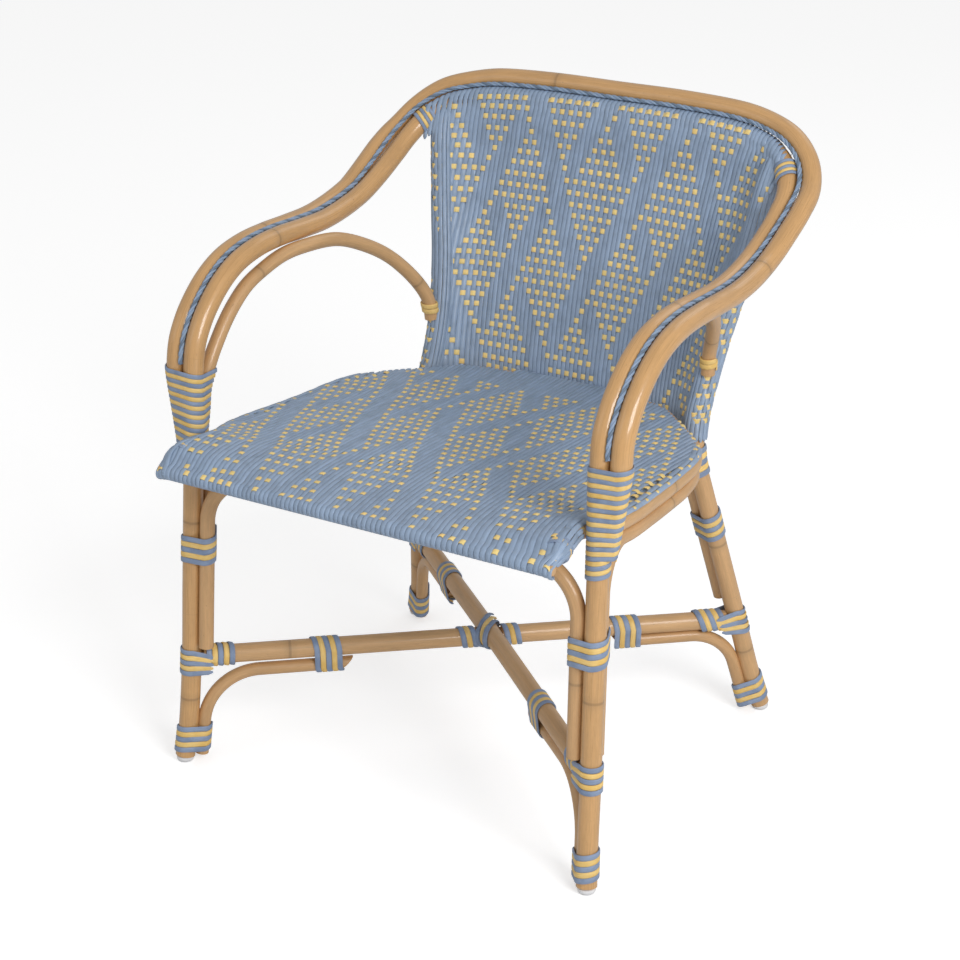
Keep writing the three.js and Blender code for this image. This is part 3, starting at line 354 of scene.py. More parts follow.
def strap(path, out, width, thick, crown=0.4):
    """A flat strip with a rounded face and narrow ends; out points away from what it lies on."""
    way = tangents(path)
    out = out - way * (out * way).sum(1)[:, None]
    out = out / np.linalg.norm(out, axis=1)[:, None]
    across = np.cross(way, out)
    width = np.broadcast_to(np.asarray(width, float), (len(path),))
    x = A([-0.46, -0.5, -0.33, 0.33, 0.5, 0.46, 0])
    z = A([0.12, 1 - crown, 0.97, 0.97, 1 - crown, 0.12, 0]) - 0.5
    size = np.ones(len(path))
    size[0], size[-1] = 0.35, 0.35
    px = x[None, :] * (width * size)[:, None]
    pz = z[None, :] * thick * size[:, None]
    points = path[:, None] + across[:, None] * px[..., None] + out[:, None] * pz[..., None]
    lay = np.stack([px, pz, np.broadcast_to(lengths(path)[:, None], px.shape)], axis=-1)
    return points, lay


def seeded(n):
    """A steady number from 0 to 1 for each count."""
    return math.modf(abs(math.sin(n * 12.9898 + 4.1) * 43758.5453))[0]


def build(name, parts, material, replaces=(), nodes=None, angle=50):
    """One mesh of closed tubes. Each part is its rings and their lay: two ways across, and along."""
    bpy.ops.object.select_all(action="DESELECT")
    points, lay, tone, near = [], [], [], []
    for k, (rings, laid) in enumerate(parts):
        n, m = rings.shape[:2]
        bpy.ops.mesh.primitive_grid_add(x_subdivisions=m, y_subdivisions=n - 1, size=0.01)
        if k == 0:
            obj = bpy.context.object
            bpy.ops.object.mode_set(mode="EDIT")
        points.append(np.concatenate([rings, rings[:, :1]], axis=1).reshape(-1, 3))
        laid = np.concatenate([laid, laid[:, :1]], axis=1).reshape(-1, 3)
        lay.append(laid)
        tone.append(np.full(n * (m + 1), seeded(k + len(name))))
        marks = A((nodes or {}).get(k, [-500.0]), float)
        away = laid[:, 2][:, None] - marks[None]
        near.append(away[np.arange(len(away)), np.abs(away).argmin(1)])
    bpy.ops.object.mode_set(mode="OBJECT")
    obj.name = obj.data.name = name
    mesh = obj.data
    places = (np.concatenate(points) + SHIFT) / 1000
    mesh.vertices.foreach_set("co", places.astype(np.float32).ravel())
    for label, kind, values, key in (
        ("lay", "FLOAT_VECTOR", np.concatenate(lay), "vector"),
        ("tone", "FLOAT", np.concatenate(tone), "value"),
        ("near", "FLOAT", np.concatenate(near), "value"),
    ):
        layer = mesh.attributes.new(label, kind, "POINT")
        layer.data.foreach_set(key, values.astype(np.float32).ravel())
    mesh.update()
    bpy.ops.object.mode_set(mode="EDIT")
    bpy.ops.mesh.select_all(action="SELECT")
    bpy.ops.mesh.remove_doubles(threshold=1e-6)
    bpy.ops.mesh.select_all(action="SELECT")
    bpy.ops.mesh.fill_holes(sides=0)
    bpy.ops.mesh.select_all(action="SELECT")
    bpy.ops.mesh.normals_make_consistent(inside=False)
    bpy.ops.object.mode_set(mode="OBJECT")
    bpy.ops.object.shade_smooth_by_angle(angle=math.radians(angle))
    obj.location = obj.rotation_euler = (0, 0, 0)
    bpy.ops.object.select_all(action="DESELECT")
    mesh.materials.clear()
    mesh.materials.append(material)
    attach(obj, "root")
    if replaces:
        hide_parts(*replaces)
    return obj


# ---------------------------------------------------------------- materials
def add_node(tree, kind, inputs=(), **settings):
    n = tree.nodes.new(kind)
    for key, value in settings.items():
        setattr(n, key, value)
    for key, value in dict(inputs).items():
        if isinstance(value, bpy.types.NodeSocket):
            tree.links.new(value, n.inputs[key])
        else:
            n.inputs[key].default_value = value
    return n


def fresh_material(name):
    material = bpy.data.materials.new(name)
    material.use_nodes = True
    tree = material.node_tree
    tree.nodes.clear()
    return material, tree


def finish_material(tree, shader):
    out = tree.nodes.new("ShaderNodeOutputMaterial")
    tree.links.new(shader.outputs[0], out.inputs["Surface"])


def vectors(tree, operation, inputs):
    return add_node(tree, "ShaderNodeVectorMath", inputs, operation=operation).outputs[0]


def scaled(tree, vector, size):
    return vectors(tree, "MULTIPLY", {0: vector, 1: size})


def noise(tree, vector, scale, detail=3.0, rough=0.5):
    inputs = {"Vector": vector, "Scale": scale, "Detail": detail, "Roughness": rough}
    return add_node(tree, "ShaderNodeTexNoise", inputs).outputs["Fac"]


def ramp(tree, factor, stops):
    n = add_node(tree, "ShaderNodeValToRGB", {"Fac": factor})
    while len(n.color_ramp.elements) < len(stops):
        n.color_ramp.elements.new(0.5)
    for element, (place, colour) in zip(n.color_ramp.elements, stops):
        element.position = place
        element.color = (*colour[:3], 1)
    return n.outputs["Color"]


def reach(tree, value, low, high, to_low=0.0, to_high=1.0):
    inputs = {"Value": value, "From Min": low, "From Max": high, "To Min": to_low, "To Max": to_high}
    smooth = {"interpolation_type": "SMOOTHSTEP"}
    return add_node(tree, "ShaderNodeMapRange", inputs, **smooth).outputs[0]


def maths(tree, operation, a, b=None):
    inputs = {0: a} if b is None else {0: a, 1: b}
    return add_node(tree, "ShaderNodeMath", inputs, operation=operation).outputs[0]


def mixed(tree, factor, a, b, blend="MIX"):
    n = add_node(tree, "ShaderNodeMix", data_type="RGBA", blend_type=blend)
    for socket, value in ((n.inputs[0], factor), (n.inputs[6], a), (n.inputs[7], b)):
        if isinstance(value, bpy.types.NodeSocket):
            tree.links.new(value, socket)
        else:
            socket.default_value = value if isinstance(value, float) else (*value[:3], 1)
    return n.outputs[2]


def attribute(tree, name, output="Vector"):
    return add_node(tree, "ShaderNodeAttribute", attribute_name=name).outputs[output]


APART = (970.0, 610.0, 830.0)  # how far the grain of one strip may lie from that of the next


def own_place(tree):
    """The lay of a strip or pole, set apart from that of its neighbours, and its tone."""
    tone = attribute(tree, "tone", "Fac")
    away = vectors(tree, "SCALE", {0: APART, "Scale": tone})
    return vectors(tree, "ADD", {0: attribute(tree, "lay"), 1: away}), tone


def shade(colour, factor):
    return tuple(min(1, c * factor) for c in colour[:3])


def bumped(tree, height, strength, distance):
    inputs = {"Height": height, "Strength": strength, "Distance": distance}
    return add_node(tree, "ShaderNodeBump", inputs).outputs[0]


def cane_material(name, colour, roughness, coat):
    """Varnished cane: streaks and specks along the pole, and a dark raised ring at each node."""
    material, tree = fresh_material(name)
    lay, tone = own_place(tree)
    near = maths(tree, "ABSOLUTE", attribute(tree, "near", "Fac"))
    streaks = noise(tree, scaled(tree, lay, (1, 1, 0.02)), 0.75, 5.0, 0.65)
    fine = noise(tree, scaled(tree, lay, (1, 1, 0.045)), 2.6, 3.0, 0.6)
    patches = noise(tree, scaled(tree, lay, (0.6, 0.6, 0.09)), 0.16, 3.0, 0.55)
    specks = noise(tree, scaled(tree, lay, (1, 1, 0.35)), 0.62, 2.0, 0.5)
    stops = [(0.3, shade(colour, 0.88)), (0.5, colour[:3]), (0.72, shade(colour, 1.1))]
    base = ramp(tree, streaks, stops)
    base = mixed(tree, reach(tree, patches, 0.4, 0.7, 0.0, 0.7), base, shade(colour, 0.84))
    light = ramp(tree, fine, [(0.35, (0.92, 0.9, 0.87)), (0.65, (1.0, 1.0, 1.0))])
    base = mixed(tree, 1.0, base, light, "MULTIPLY")
    base = mixed(tree, reach(tree, specks, 0.68, 0.78, 0.0, 0.55), base, shade(colour, 0.42))
    each = ramp(tree, tone, [(0.0, (0.93, 0.9, 0.87)), (1.0, (1.03, 1.03, 1.03))])
    base = mixed(tree, 1.0, base, each, "MULTIPLY")
    ring = reach(tree, near, 0.5, 2.8, 1.0, 0.0)
    skirt = reach(tree, near, 2.0, 12.0, 0.5, 0.0)
    base = mixed(tree, skirt, base, shade(colour, 0.74))
    base = mixed(tree, maths(tree, "MULTIPLY", ring, 0.5), base, shade(colour, 0.42))
    swell = reach(tree, near, 0.5, 4.0, 1.0, 0.0)
    height = maths(tree, "ADD", maths(tree, "MULTIPLY", fine, 0.12), swell)
    inputs = {
        "Base Color": base,
        "Roughness": reach(tree, streaks, 0.3, 0.75, roughness * 0.85, roughness * 1.35),
        "Coat Weight": coat,
        "Coat Roughness": 0.07,
        "Coat IOR": 1.5,
        "Specular IOR Level": 0.5,
        "Normal": bumped(tree, height, 0.55, 0.0006),
    }
    finish_material(tree, add_node(tree, "ShaderNodeBsdfPrincipled", inputs))
    return material


def strip_material(name, colour, dark, roughness, shine=0.3):
    """Flat plastic cane: fine lines along the strip, a little different in each strip."""
    material, tree = fresh_material(name)
    lay, tone = own_place(tree)
    lines = noise(tree, scaled(tree, lay, (1, 0.2, 0.03)), 1.9, 3.0, 0.6)
    patches = noise(tree, scaled(tree, lay, (0.3, 0.3, 0.35)), 0.14, 3.0, 0.6)
    wear = noise(tree, scaled(tree, lay, (1, 1, 0.3)), 1.1, 4.0, 0.7)
    base = mixed(tree, reach(tree, lines, 0.38, 0.66), colour, shade(colour, 0.86))
    base = mixed(tree, reach(tree, patches, 0.4, 0.72, 0.0, 0.75), base, dark)
    base = mixed(tree, reach(tree, wear, 0.66, 0.8, 0.0, 0.4), base, shade(colour, 1.25))
    each = ramp(tree, tone, [(0.0, (0.9, 0.9, 0.9)), (1.0, (1.05, 1.05, 1.05))])
    base = mixed(tree, 1.0, base, each, "MULTIPLY")
    height = maths(tree, "ADD", lines, maths(tree, "MULTIPLY", wear, 0.5))
    inputs = {
        "Base Color": base,
        "Roughness": reach(tree, wear, 0.3, 0.8, roughness * 0.85, roughness * 1.25),
        "Specular IOR Level": shine,
        "Normal": bumped(tree, height, 0.3, 0.0003),
    }
    finish_material(tree, add_node(tree, "ShaderNodeBsdfPrincipled", inputs))
    return material


def glide_material(name, colour):
    """Moulded plastic with faint grain and a scuffed foot."""
    material, tree = fresh_material(name)
    place = add_node(tree, "ShaderNodeTexCoord").outputs["Object"]
    grain = noise(tree, place, 900.0, 3.0)
    height = add_node(tree, "ShaderNodeSeparateXYZ", {0: place}).outputs["Z"]
    low = reach(tree, height, 0.0, 0.004, 1.0, 0.0)
    scuff = maths(tree, "MULTIPLY", low, reach(tree, noise(tree, place, 260.0, 4.0), 0.35, 0.65))
    base = mixed(tree, scuff, colour, shade(colour, 0.62))
    base = mixed(tree, reach(tree, grain, 0.4, 0.7, 0.0, 0.2), base, shade(colour, 0.86))
    inputs = {"Base Color": base, "Roughness": 0.42, "Normal": bumped(tree, grain, 0.2, 0.0002)}
    finish_material(tree, add_node(tree, "ShaderNodeBsdfPrincipled", inputs))
    return material


def finish(context, name):
    """The named finish, made the first time that a piece asks for it."""
    if name in bpy.data.materials:
        return bpy.data.materials[name]
    c = context.scene.armchair_colours
    cord = c.cord_light
    maker, *values = {
        "cane_hoop": (cane_material, c.cane_hoop, 0.3, 0.6),
        "cane_pole": (cane_material, c.cane_pole, 0.4, 0.35),
        "binding_blue": (strip_material, c.blue, c.blue_dark, 0.48),
        "binding_yellow": (strip_material, c.yellow, c.yellow_dark, 0.48),
        "weave_blue": (strip_material, c.weave_blue, shade(c.weave_blue, 0.72), 0.36, 0.5),
        "weave_yellow": (strip_material, c.weave_yellow, c.yellow, 0.45),
        "cord_light": (strip_material, cord, c.blue, 0.5),
        "cord_dark": (strip_material, shade(cord, 0.66), shade(cord, 0.5), 0.5),
        "glide_plastic": (glide_material, c.glide),
    }[name]
    return maker(name, *values)


# ---------------------------------------------------------------- what a user may change
def colour(name, description, value):
    return bpy.props.FloatVectorProperty(
        name=name, description=description, subtype="COLOR", size=3, min=0, max=1, default=value)


def length(name, description, value):
    return bpy.props.FloatProperty(
        name=name, description=description, default=value, min=0.0001,
        unit="LENGTH", subtype="DISTANCE")


def amount(name, description, value, **more):
    return bpy.props.FloatProperty(
        name=name, description=description, default=value, min=0, **more)


def linear(r, g, b):
    """The linear colour of a colour given as 0 to 255 on a screen."""
    return tuple(c / 12.92 if c <= 0.04045 else ((c + 0.055) / 1.055) ** 2.4
                 for c in (r / 255, g / 255, b / 255))


class ArmchairColours(bpy.types.PropertyGroup):
    cane_hoop: colour("Hoop cane", "Varnished cane of both hoops", linear(214, 168, 112))
    cane_pole: colour("Pole cane", "Cane of legs, braces and stretchers", linear(218, 176, 126))
    blue: colour("Blue strip", "Blue of the bindings", linear(150, 167, 195))
    blue_dark: colour("Dark blue", "Shaded and worn blue", linear(122, 139, 168))
    weave_blue: colour("Blue weave", "Blue of the seat and back", linear(158, 179, 206))
    yellow: colour("Yellow strip", "Yellow of the bindings and the dots", linear(253, 216, 140))
    weave_yellow: colour("Yellow weave", "Yellow of the dots in seat and back", linear(255, 226, 150))
    yellow_dark: colour("Dark yellow", "Shaded and worn yellow", linear(232, 188, 100))
    cord_light: colour("Cord", "Light strands of the groove cord", linear(150, 172, 198))
    glide: colour("Glide", "Plastic under the feet", linear(236, 236, 238))


class ArmchairSizes(bpy.types.PropertyGroup):
    strip_width: length("Strip width", "Width of a binding strip", 0.00685)
    strip_thickness: length("Strip thickness", "Thickness of a binding strip", 0.0021)
    dot_width: length("Dot width", "Width of the yellow strands", 0.0068)


class ArmchairStage(bpy.types.PropertyGroup):
    lens: amount("Lens", "Focal length in millimetres, as the view needs", 86.625, unit="CAMERA")
    key: amount("Key lamp", "Power of the large lamp", 62.0, unit="POWER")
    fill: amount("Fill lamp", "Power of the lamps on the other side", 5.0, unit="POWER")
    sky: amount("Sky", "Level of the even light from all round", 0.48)


# ---------------------------------------------------------------- poles
def mirrored(parts):
    """The same parts on the other side of the chair."""
    return [(points * MIRROR, lay) for points, lay in parts]


def sides_of(part):
    """A part for the right side and its mirror picture for the left one."""
    return ("right", [part]), ("left", mirrored([part]))


def outside(line, other, distance):
    """The run of a line that keeps its distance from another line."""
    keep = [np.linalg.norm(other - p, axis=1).min() > distance for p in line]
    return line[A(keep)]


def above(line, z):
    """A line cut off level at a height at its lower end."""
    first = at_height(line, z)
    return np.vstack([first, line[line[:, 2] > z + 1]])


class MakeHoops(bpy.types.Operator):
    """Add the two bent hoops: the inner one makes the front legs, the arms and the top of the back"""
    bl_idname = "armchair.hoops"
    bl_label = "Hoops"
    bl_options = {"REGISTER", "UNDO"}

    def execute(self, context):
        g = LINES
        cane = finish(context, "cane_hoop")
        inner = mirror_line(above(g.inner, FOOT_CUT))
        build("hoop_inner_cane", [tube(inner, HOOP, 28)], cane,
              ["hoop_inner"], {0: [236, 760, 1120, 1460, 2040, 2470, 2714]})
        radius = np.concatenate([g.outer_radius, g.outer_radius[-2::-1]])
        build("hoop_outer_cane", [tube(mirror_line(g.outer), radius, 28)], cane,
              ["hoop_outer"], {0: [520, 1118, 1700]})
        return {"FINISHED"}


class MakeGrooveCord(bpy.types.Operator):
    """Lay the twisted three-strand cord in the groove between the hoops"""
    bl_idname = "armchair.groove_cord"
    bl_label = "Groove cord"
    bl_options = {"REGISTER", "UNDO"}

    def execute(self, context):
        g = LINES
        line = spaced(mirror_line(g.cord), 2.2)
        way = tangents(line)
        side = unit(np.cross(way[0], UP))
        run = lengths(line)
        sides = []
        for t in way:
            side = unit(side - t * (side @ t))
            sides.append(side)
        side = A(sides)
        other = np.cross(way, side)
        strands = []
        for k in range(3):
            angle = run * 2 * math.pi / CORD_LAY + k * 2 * math.pi / 3
            away = side * np.cos(angle)[:, None] + other * np.sin(angle)[:, None]
            strands.append(tube(line + away * 1.45, 1.62, 7))
        for name, some in (("cord_light", strands[:2]), ("cord_dark", strands[2:])):
            build("groove_" + name, some, finish(context, name), ["groove_cord"])
        return {"FINISHED"}


class MakeRearLegs(bpy.types.Operator):
    """Add the rear legs that carry on as the uprights of the back"""
    bl_idname = "armchair.rear_legs"
    bl_label = "Rear legs"
    bl_options = {"REGISTER", "UNDO"}

    def execute(self, context):
        g = LINES
        line = outside(above(g.rear, FOOT_CUT), mirror_line(g.inner), HOOP - 2)
        for side, parts in sides_of(tube(line, REAR, 24)):
            build("rear_leg_cane_" + side, parts, finish(context, "cane_pole"),
                  ["rear_leg_upright_" + side], {0: [92, 262]})
        return {"FINISHED"}


class MakeArcBraces(bpy.types.Operator):
    """Add the arched braces under the arms"""
    bl_idname = "armchair.arc_braces"
    bl_label = "Arc braces"
    bl_options = {"REGISTER", "UNDO"}

    def execute(self, context):
        g = LINES
        away = A([np.linalg.norm(g.rear - p, axis=1).min() for p in g.arc]) > WOVEN_POST - 1
        for side, parts in sides_of(tube(g.arc[away], g.arc_radius[away])):
            build("arc_brace_cane_" + side, parts, finish(context, "cane_pole"),
                  ["arc_brace_" + side], {0: [250, 560]})
        return {"FINISHED"}


class MakeSeatFrame(bpy.types.Operator):
    """Add the seat's rim and its front rail"""
    bl_idname = "armchair.seat_frame"
    bl_label = "Seat frame"
    bl_options = {"REGISTER", "UNDO"}

    def execute(self, context):
        g = LINES
        line = mirror_line(g.rim)
        share = np.arange(len(line)) / (len(line) - 1)
        run = np.minimum(share, 1 - share) / 0.06
        radius = RAIL + (RIM - RAIL) * np.minimum(run, 1)
        cane = finish(context, "cane_pole")
        build("seat_rim_cane", [tube(line, radius)], cane,
              ["seat_rim"], {0: [96, 300, 700, 1100]})
        end = A([RAIL_HALF, g.rim_front, g.rail_height])
        rail = spaced([end * MIRROR, end], 10)
        build("seat_rail_cane", [tube(rail, RAIL, 16)], cane, ["seat_front_rail"])
        return {"FINISHED"}


class MakeBraces(bpy.types.Operator):
    """Add the braces under the seat"""
    bl_idname = "armchair.braces"
    bl_label = "Braces"
    bl_options = {"REGISTER", "UNDO"}

    def execute(self, context):
        g = LINES
        cane = finish(context, "cane_pole")
        build("front_brace_cane", [tube(spaced(g.front_brace, 8), BRACE)], cane,
              ["front_brace"], {0: [95, 700]})
        line = outside(spaced(g.side_brace, 8), g.rear, REAR - 2)
        for side, parts in sides_of(tube(line, BRACE)):
            build("side_brace_cane_" + side, parts, cane,
                  ["side_brace_" + side], {0: [150, 420]})
        build("rear_brace_cane", [tube(spaced(g.rear_brace, 8), BRACE)], cane,
              ["rear_brace"], {0: [120, 520]})
        return {"FINISHED"}


def knee_line(leg, way, radius, run, bend, z_stretcher):
    """From beside the foot up and along under the stretcher, and where it ends."""
    reach_out = radius + GAP + KNEE
    z = z_stretcher - STRETCHER - GAP - KNEE
    foot, top = leg(9) + way * reach_out, leg(z) + way * reach_out
    end = top + way * (run - reach_out)
    return bent_line([foot, top, end], [bend]), end


def corners():
    """The four feet: leg, the way its stretcher runs, and the sizes of its knee and bindings."""
    g = LINES
    left = lambda leg: lambda z: leg(z) * MIRROR
    front = {"radius": HOOP, "run": 213, "bend": 75, "from_end": 37}
    rear = {"radius": REAR, "run": 180, "bend": 64, "from_end": 22}
    low, high = (g.low, STRETCHER_HEIGHT), (g.high, STRETCHER_HEIGHT + STRETCHER_STEP)
    front_braces = [g.front_brace[:BRACE_END], g.side_brace]
    rear_braces = [g.rear_brace[:BRACE_END]]
    flip = lambda lines: [line * MIRROR for line in lines]
    for name, leg, to, size, on, braces, wrap in (
        ("front_left", left(g.leg), g.rear_joint, front, low, flip(front_braces), 299),
        ("front_right", g.leg, g.rear_joint * MIRROR, front, high, front_braces, 302),
        ("rear_right", g.rear_at, g.front_joint * MIRROR, rear, low, rear_braces, 287),
        ("rear_left", left(g.rear_at), g.front_joint, rear, high, flip(rear_braces), 287),
    ):
        way = to - leg(on[1])
        way[2] = 0
        way = unit(way)
        line, end = knee_line(leg, way, size["radius"], size["run"], size["bend"], on[1])
        yield {**size, "name": name, "leg": leg, "way": way, "knee": line, "end": end,
               "stretcher": on[0], "height": on[1], "braces": braces, "wrap": wrap}


class MakeStretchers(bpy.types.Operator):
    """Add the crossed stretchers, halved where they cross"""
    bl_idname = "armchair.stretchers"
    bl_label = "Stretchers"
    bl_options = {"REGISTER", "UNDO"}

    def execute(self, context):
        g = LINES
        legs = np.vstack([g.inner, g.inner * MIRROR, g.rear, g.rear * MIRROR])
        cane = finish(context, "cane_pole")
        lap = (STRETCHER_HEIGHT + g.high[SPAN][2]) / 2
        for name, line, sign, nodes in (
            ("low", g.low, -1, [110, 560]), ("high", spaced(g.high, 8), 1, [150, 560])
        ):
            kept = outside(line, legs, HOOP - 2)
            points, lay = tube(spaced(kept, 4), STRETCHER, 24)
            near = np.linalg.norm((points - g.crossing)[..., :2], axis=2) < 15.5
            past = (points[..., 2] - lap) * sign < 0
            points[..., 2] = np.where(near & past, lap + sign * 0.15, points[..., 2])
            build("stretcher_cane_" + name, [(points, lay)], cane,
                  ["stretcher_" + name], {0: nodes})
        return {"FINISHED"}


class MakeKnees(bpy.types.Operator):
    """Add the bent knees under the stretchers, with their slanted ends"""
    bl_idname = "armchair.knees"
    bl_label = "Knees"
    bl_options = {"REGISTER", "UNDO"}

    def execute(self, context):
        for c in corners():
            line = spaced(c["knee"], 6)
            points, lay = tube(line, KNEE)
            slant = unit(A([c["way"][0], c["way"][1], -1]))
            over = (points - c["end"]) @ slant + KNEE
            over = np.where(over > 0, over, 0) / (slant @ c["way"])
            over[: len(line) // 2] = 0
            points = points - over[..., None] * c["way"]
            build("knee_cane_" + c["name"], [(points, lay)],
                  finish(context, "cane_pole"), ["knee_" + c["name"]])
        return {"FINISHED"}


# ---------------------------------------------------------------- bindings
def cut_by(line, origin, normal):
    """Where a line passes a plane: the nearest such point, the way there and its place in the line."""
    d = (line - origin) @ normal
    i = np.nonzero(d[:-1] * d[1:] <= 0)[0]
    if not len(i):
        return None
    share = d[i] / (d[i] - d[i + 1] + 1e-12)
    p = line[i] + (line[i + 1] - line[i]) * share[:, None]
    k = int(np.linalg.norm(p - origin, axis=1).argmin())
    return p[k], unit(line[i[k] + 1] - line[i[k]]), i[k] + share[k]


def ovals(members, origin, x, y, z):
    """The ovals that a plane cuts from the poles of a bundle."""
    out = []
    for line, radius in members:
        cut = cut_by(line, origin, z)
        if cut is None:
            continue
        p, way, place = cut
        r = radius if np.isscalar(radius) else float(np.interp(place, range(len(radius)), radius))
        flat = A([way @ x, way @ y])
        size = np.linalg.norm(flat)
        flat = flat / size if size > 1e-6 else A([1.0, 0])
        d = p - origin
        out.append((A([d @ x, d @ y]), flat, r / max(abs(way @ z), 0.3), r))
    return out


def touch(discs, angle):
    """The point of a bundle's outline whose outward way is at this angle."""
    n = A([math.cos(angle), math.sin(angle)])
    best = None
    for centre, flat, long, r in discs:
        side = A([-flat[1], flat[0]])
        a, b = n @ flat, n @ side
        h = math.sqrt((long * a) ** 2 + (r * b) ** 2)
        point = centre + (flat * long**2 * a + side * r**2 * b) / h
        if best is None or point @ n > best[0]:
            best = (point @ n, point)
    return best[1], n


def wound(origin, axis, side, members, low, high, lead, phase, width, thick):
    """A strip wound round a bundle from one place on the axis to another."""
    z = unit(axis)
    x = unit(side - z * (side @ z))
    y = np.cross(z, x)
    count = max(6, int((high - low) / lead * 26))
    path, out = [], []
    for h in np.linspace(low, high, count):
        discs = []
        for d in (-width / 2, 0, width / 2):
            discs += ovals(members, origin + z * (h + d), x, y, z)
        angle = 2 * math.pi * h / lead + phase
        p, n = touch(discs, angle)
        p = p + n * (STRIP_LIFT + thick / 2)
        path.append(origin + z * h + x * p[0] + y * p[1])
        out.append(x * n[0] + y * n[1])
    return strap(A(path), A(out), width, thick)


def two_colours(origin, axis, side, members, seen, pitch=BIND_PITCH, blues=3):
    """Blue and yellow loops by turns, blue first and last, evenly seen from one side."""
    z = unit(axis)
    x = unit(side - z * (side @ z))
    y = np.cross(z, x)
    phase = math.atan2(seen @ y, seen @ x)
    sizes = bpy.context.scene.armchair_sizes
    width = sizes.strip_width * 1000 + pitch - BIND_PITCH
    thick = sizes.strip_thickness * 1000
    strips = []
    for turns, half in ((blues - 1, pitch * (blues - 0.28)), (blues, pitch * (blues - 1.23))):
        strips.append(wound(origin, axis, side, members, -half, half, 2 * pitch,
                            phase + turns * math.pi, width, thick))
    return strips


VIEW = A([math.sin(VIEW_AZIMUTH), -math.cos(VIEW_AZIMUTH), 0.35])


def bind(context, name, nodes, blues, yellows):
    build(name + "_blue", blues, finish(context, "binding_blue"), nodes)
    build(name + "_yellow", yellows, finish(context, "binding_yellow"), nodes)


class MakeFootBindings(bpy.types.Operator):
    """Wind the bindings of the feet, the knees' ends and the tops of the legs"""
    bl_idname = "armchair.foot_bindings"
    bl_label = "Leg bindings"
    bl_options = {"REGISTER", "UNDO"}

    def execute(self, context):
        for c in corners():
            leg = A([c["leg"](z) for z in np.arange(FOOT_CUT, LINES.brace_top + 10, 6)])
            leg_member = (leg, c["radius"])
            up_at = lambda z: c["leg"](z + 7) - c["leg"](z - 7)
            members = [leg_member, (c["knee"], KNEE)]
            foot = two_colours(c["leg"](34), up_at(34), c["way"], members, VIEW)
            bind(context, "foot_binding_" + c["name"], ["foot_wrap_" + c["name"]], foot[:1], foot[1:])
            mid = c["end"] - c["way"] * c["from_end"]
            on = cut_by(c["stretcher"], mid, c["way"])[0]
            members = [(c["stretcher"], STRETCHER), (c["knee"], KNEE)]
            knee = two_colours(on, c["way"], UP, members, VIEW)
            bind(context, "knee_binding_" + c["name"], ["knee_wrap_" + c["name"]], knee[:1], knee[1:])
            z = c["wrap"]
            members = [leg_member, *[(line, BRACE) for line in c["braces"]]]
            top = two_colours(c["leg"](z), up_at(z), A([1.0, 0, 0]), members, VIEW)
            bind(context, "top_binding_" + c["name"], ["top_wrap_" + c["name"]], top[:1], top[1:])
        return {"FINISHED"}


def round_leg(c, shift, width=BIND_PITCH - 0.4, thick=2.0):
    """A loop round the far half of the leg, its ends drawn along the stretcher's sides."""
    way = c["way"]
    side = np.cross(UP, way)
    at = c["leg"](c["height"] + shift)
    reach_out = c["radius"] + STRIP_LIFT + thick / 2
    path, out = [], []
    for angle in np.linspace(-math.pi / 2, math.pi / 2, 20):
        n = -way * math.cos(angle) + side * math.sin(angle)
        path.append(at + n * reach_out)
        out.append(n)
    along = way + A([0, 0, -0.16 - shift * 0.012])
    ahead = (7, 14, 21, 27)
    first, last = ([p + along * k for k in ahead] for p in (path[0], path[-1]))
    out = [out[0]] * 4 + out + [out[-1]] * 4
    return strap(A(first[::-1] + path + last), A(out), width, thick)


class MakeJointBindings(bpy.types.Operator):
    """Wind the bindings of the stretchers' joints, round the leg and round the stretcher"""
    bl_idname = "armchair.joint_bindings"
    bl_label = "Joint bindings"
    bl_options = {"REGISTER", "UNDO"}

    def execute(self, context):
        for c in corners():
            loops = [round_leg(c, (k - 2) * BIND_PITCH) for k in range(5)]
            ahead = c["leg"](c["height"]) + c["way"] * 36
            start = cut_by(c["stretcher"], ahead, c["way"])[0]
            members = [(c["stretcher"], STRETCHER)]
            blue, yellow = two_colours(start, c["way"] - UP * 0.22, UP, members, VIEW)
            bind(context, "joint_binding_" + c["name"], ["joint_wrap_" + c["name"]],
                 [*loops[::2], blue], [*loops[1::2], yellow])
        return {"FINISHED"}


class MakeSeatBindings(bpy.types.Operator):
    """Wind the bindings under the seat's rear corners and over the crossing"""
    bl_idname = "armchair.seat_bindings"
    bl_label = "Seat and crossing bindings"
    bl_options = {"REGISTER", "UNDO"}

    def execute(self, context):
        g = LINES
        at = g.rear_at(376)
        way = g.rear_at(383.2) - g.rear_at(368.8)
        members = [(g.rear, REAR), (g.rear_brace[:BRACE_END], BRACE)]
        right = two_colours(at, way, A([1.0, 0, 0]), members, VIEW)
        left = mirrored(two_colours(at, way, A([1.0, 0, 0]), members, VIEW * MIRROR))
        bind(context, "seat_binding_right", ["seat_wrap_right"], right[:1], right[1:])
        bind(context, "seat_binding_left", ["seat_wrap_left"], left[:1], left[1:])
        low, high = (g.low, STRETCHER), (g.high, STRETCHER)
        along_low = unit(g.low[-1] - g.low[0])
        blues, yellows = [], []
        for run in (-29, 29):
            pair = two_colours(g.crossing + along_low * run, along_low, UP, [low], VIEW, blues=2)
            blues.append(pair[0])
            yellows.append(pair[1])
        middle = g.crossing + UP * STRETCHER_STEP
        pair = two_colours(middle, A([1.0, 0.12, 0]), UP, [low, high], VIEW, blues=2)
        bind(context, "cross_binding", ["cross_wrap"], [*blues, pair[0]], [*yellows, pair[1]])
        return {"FINISHED"}


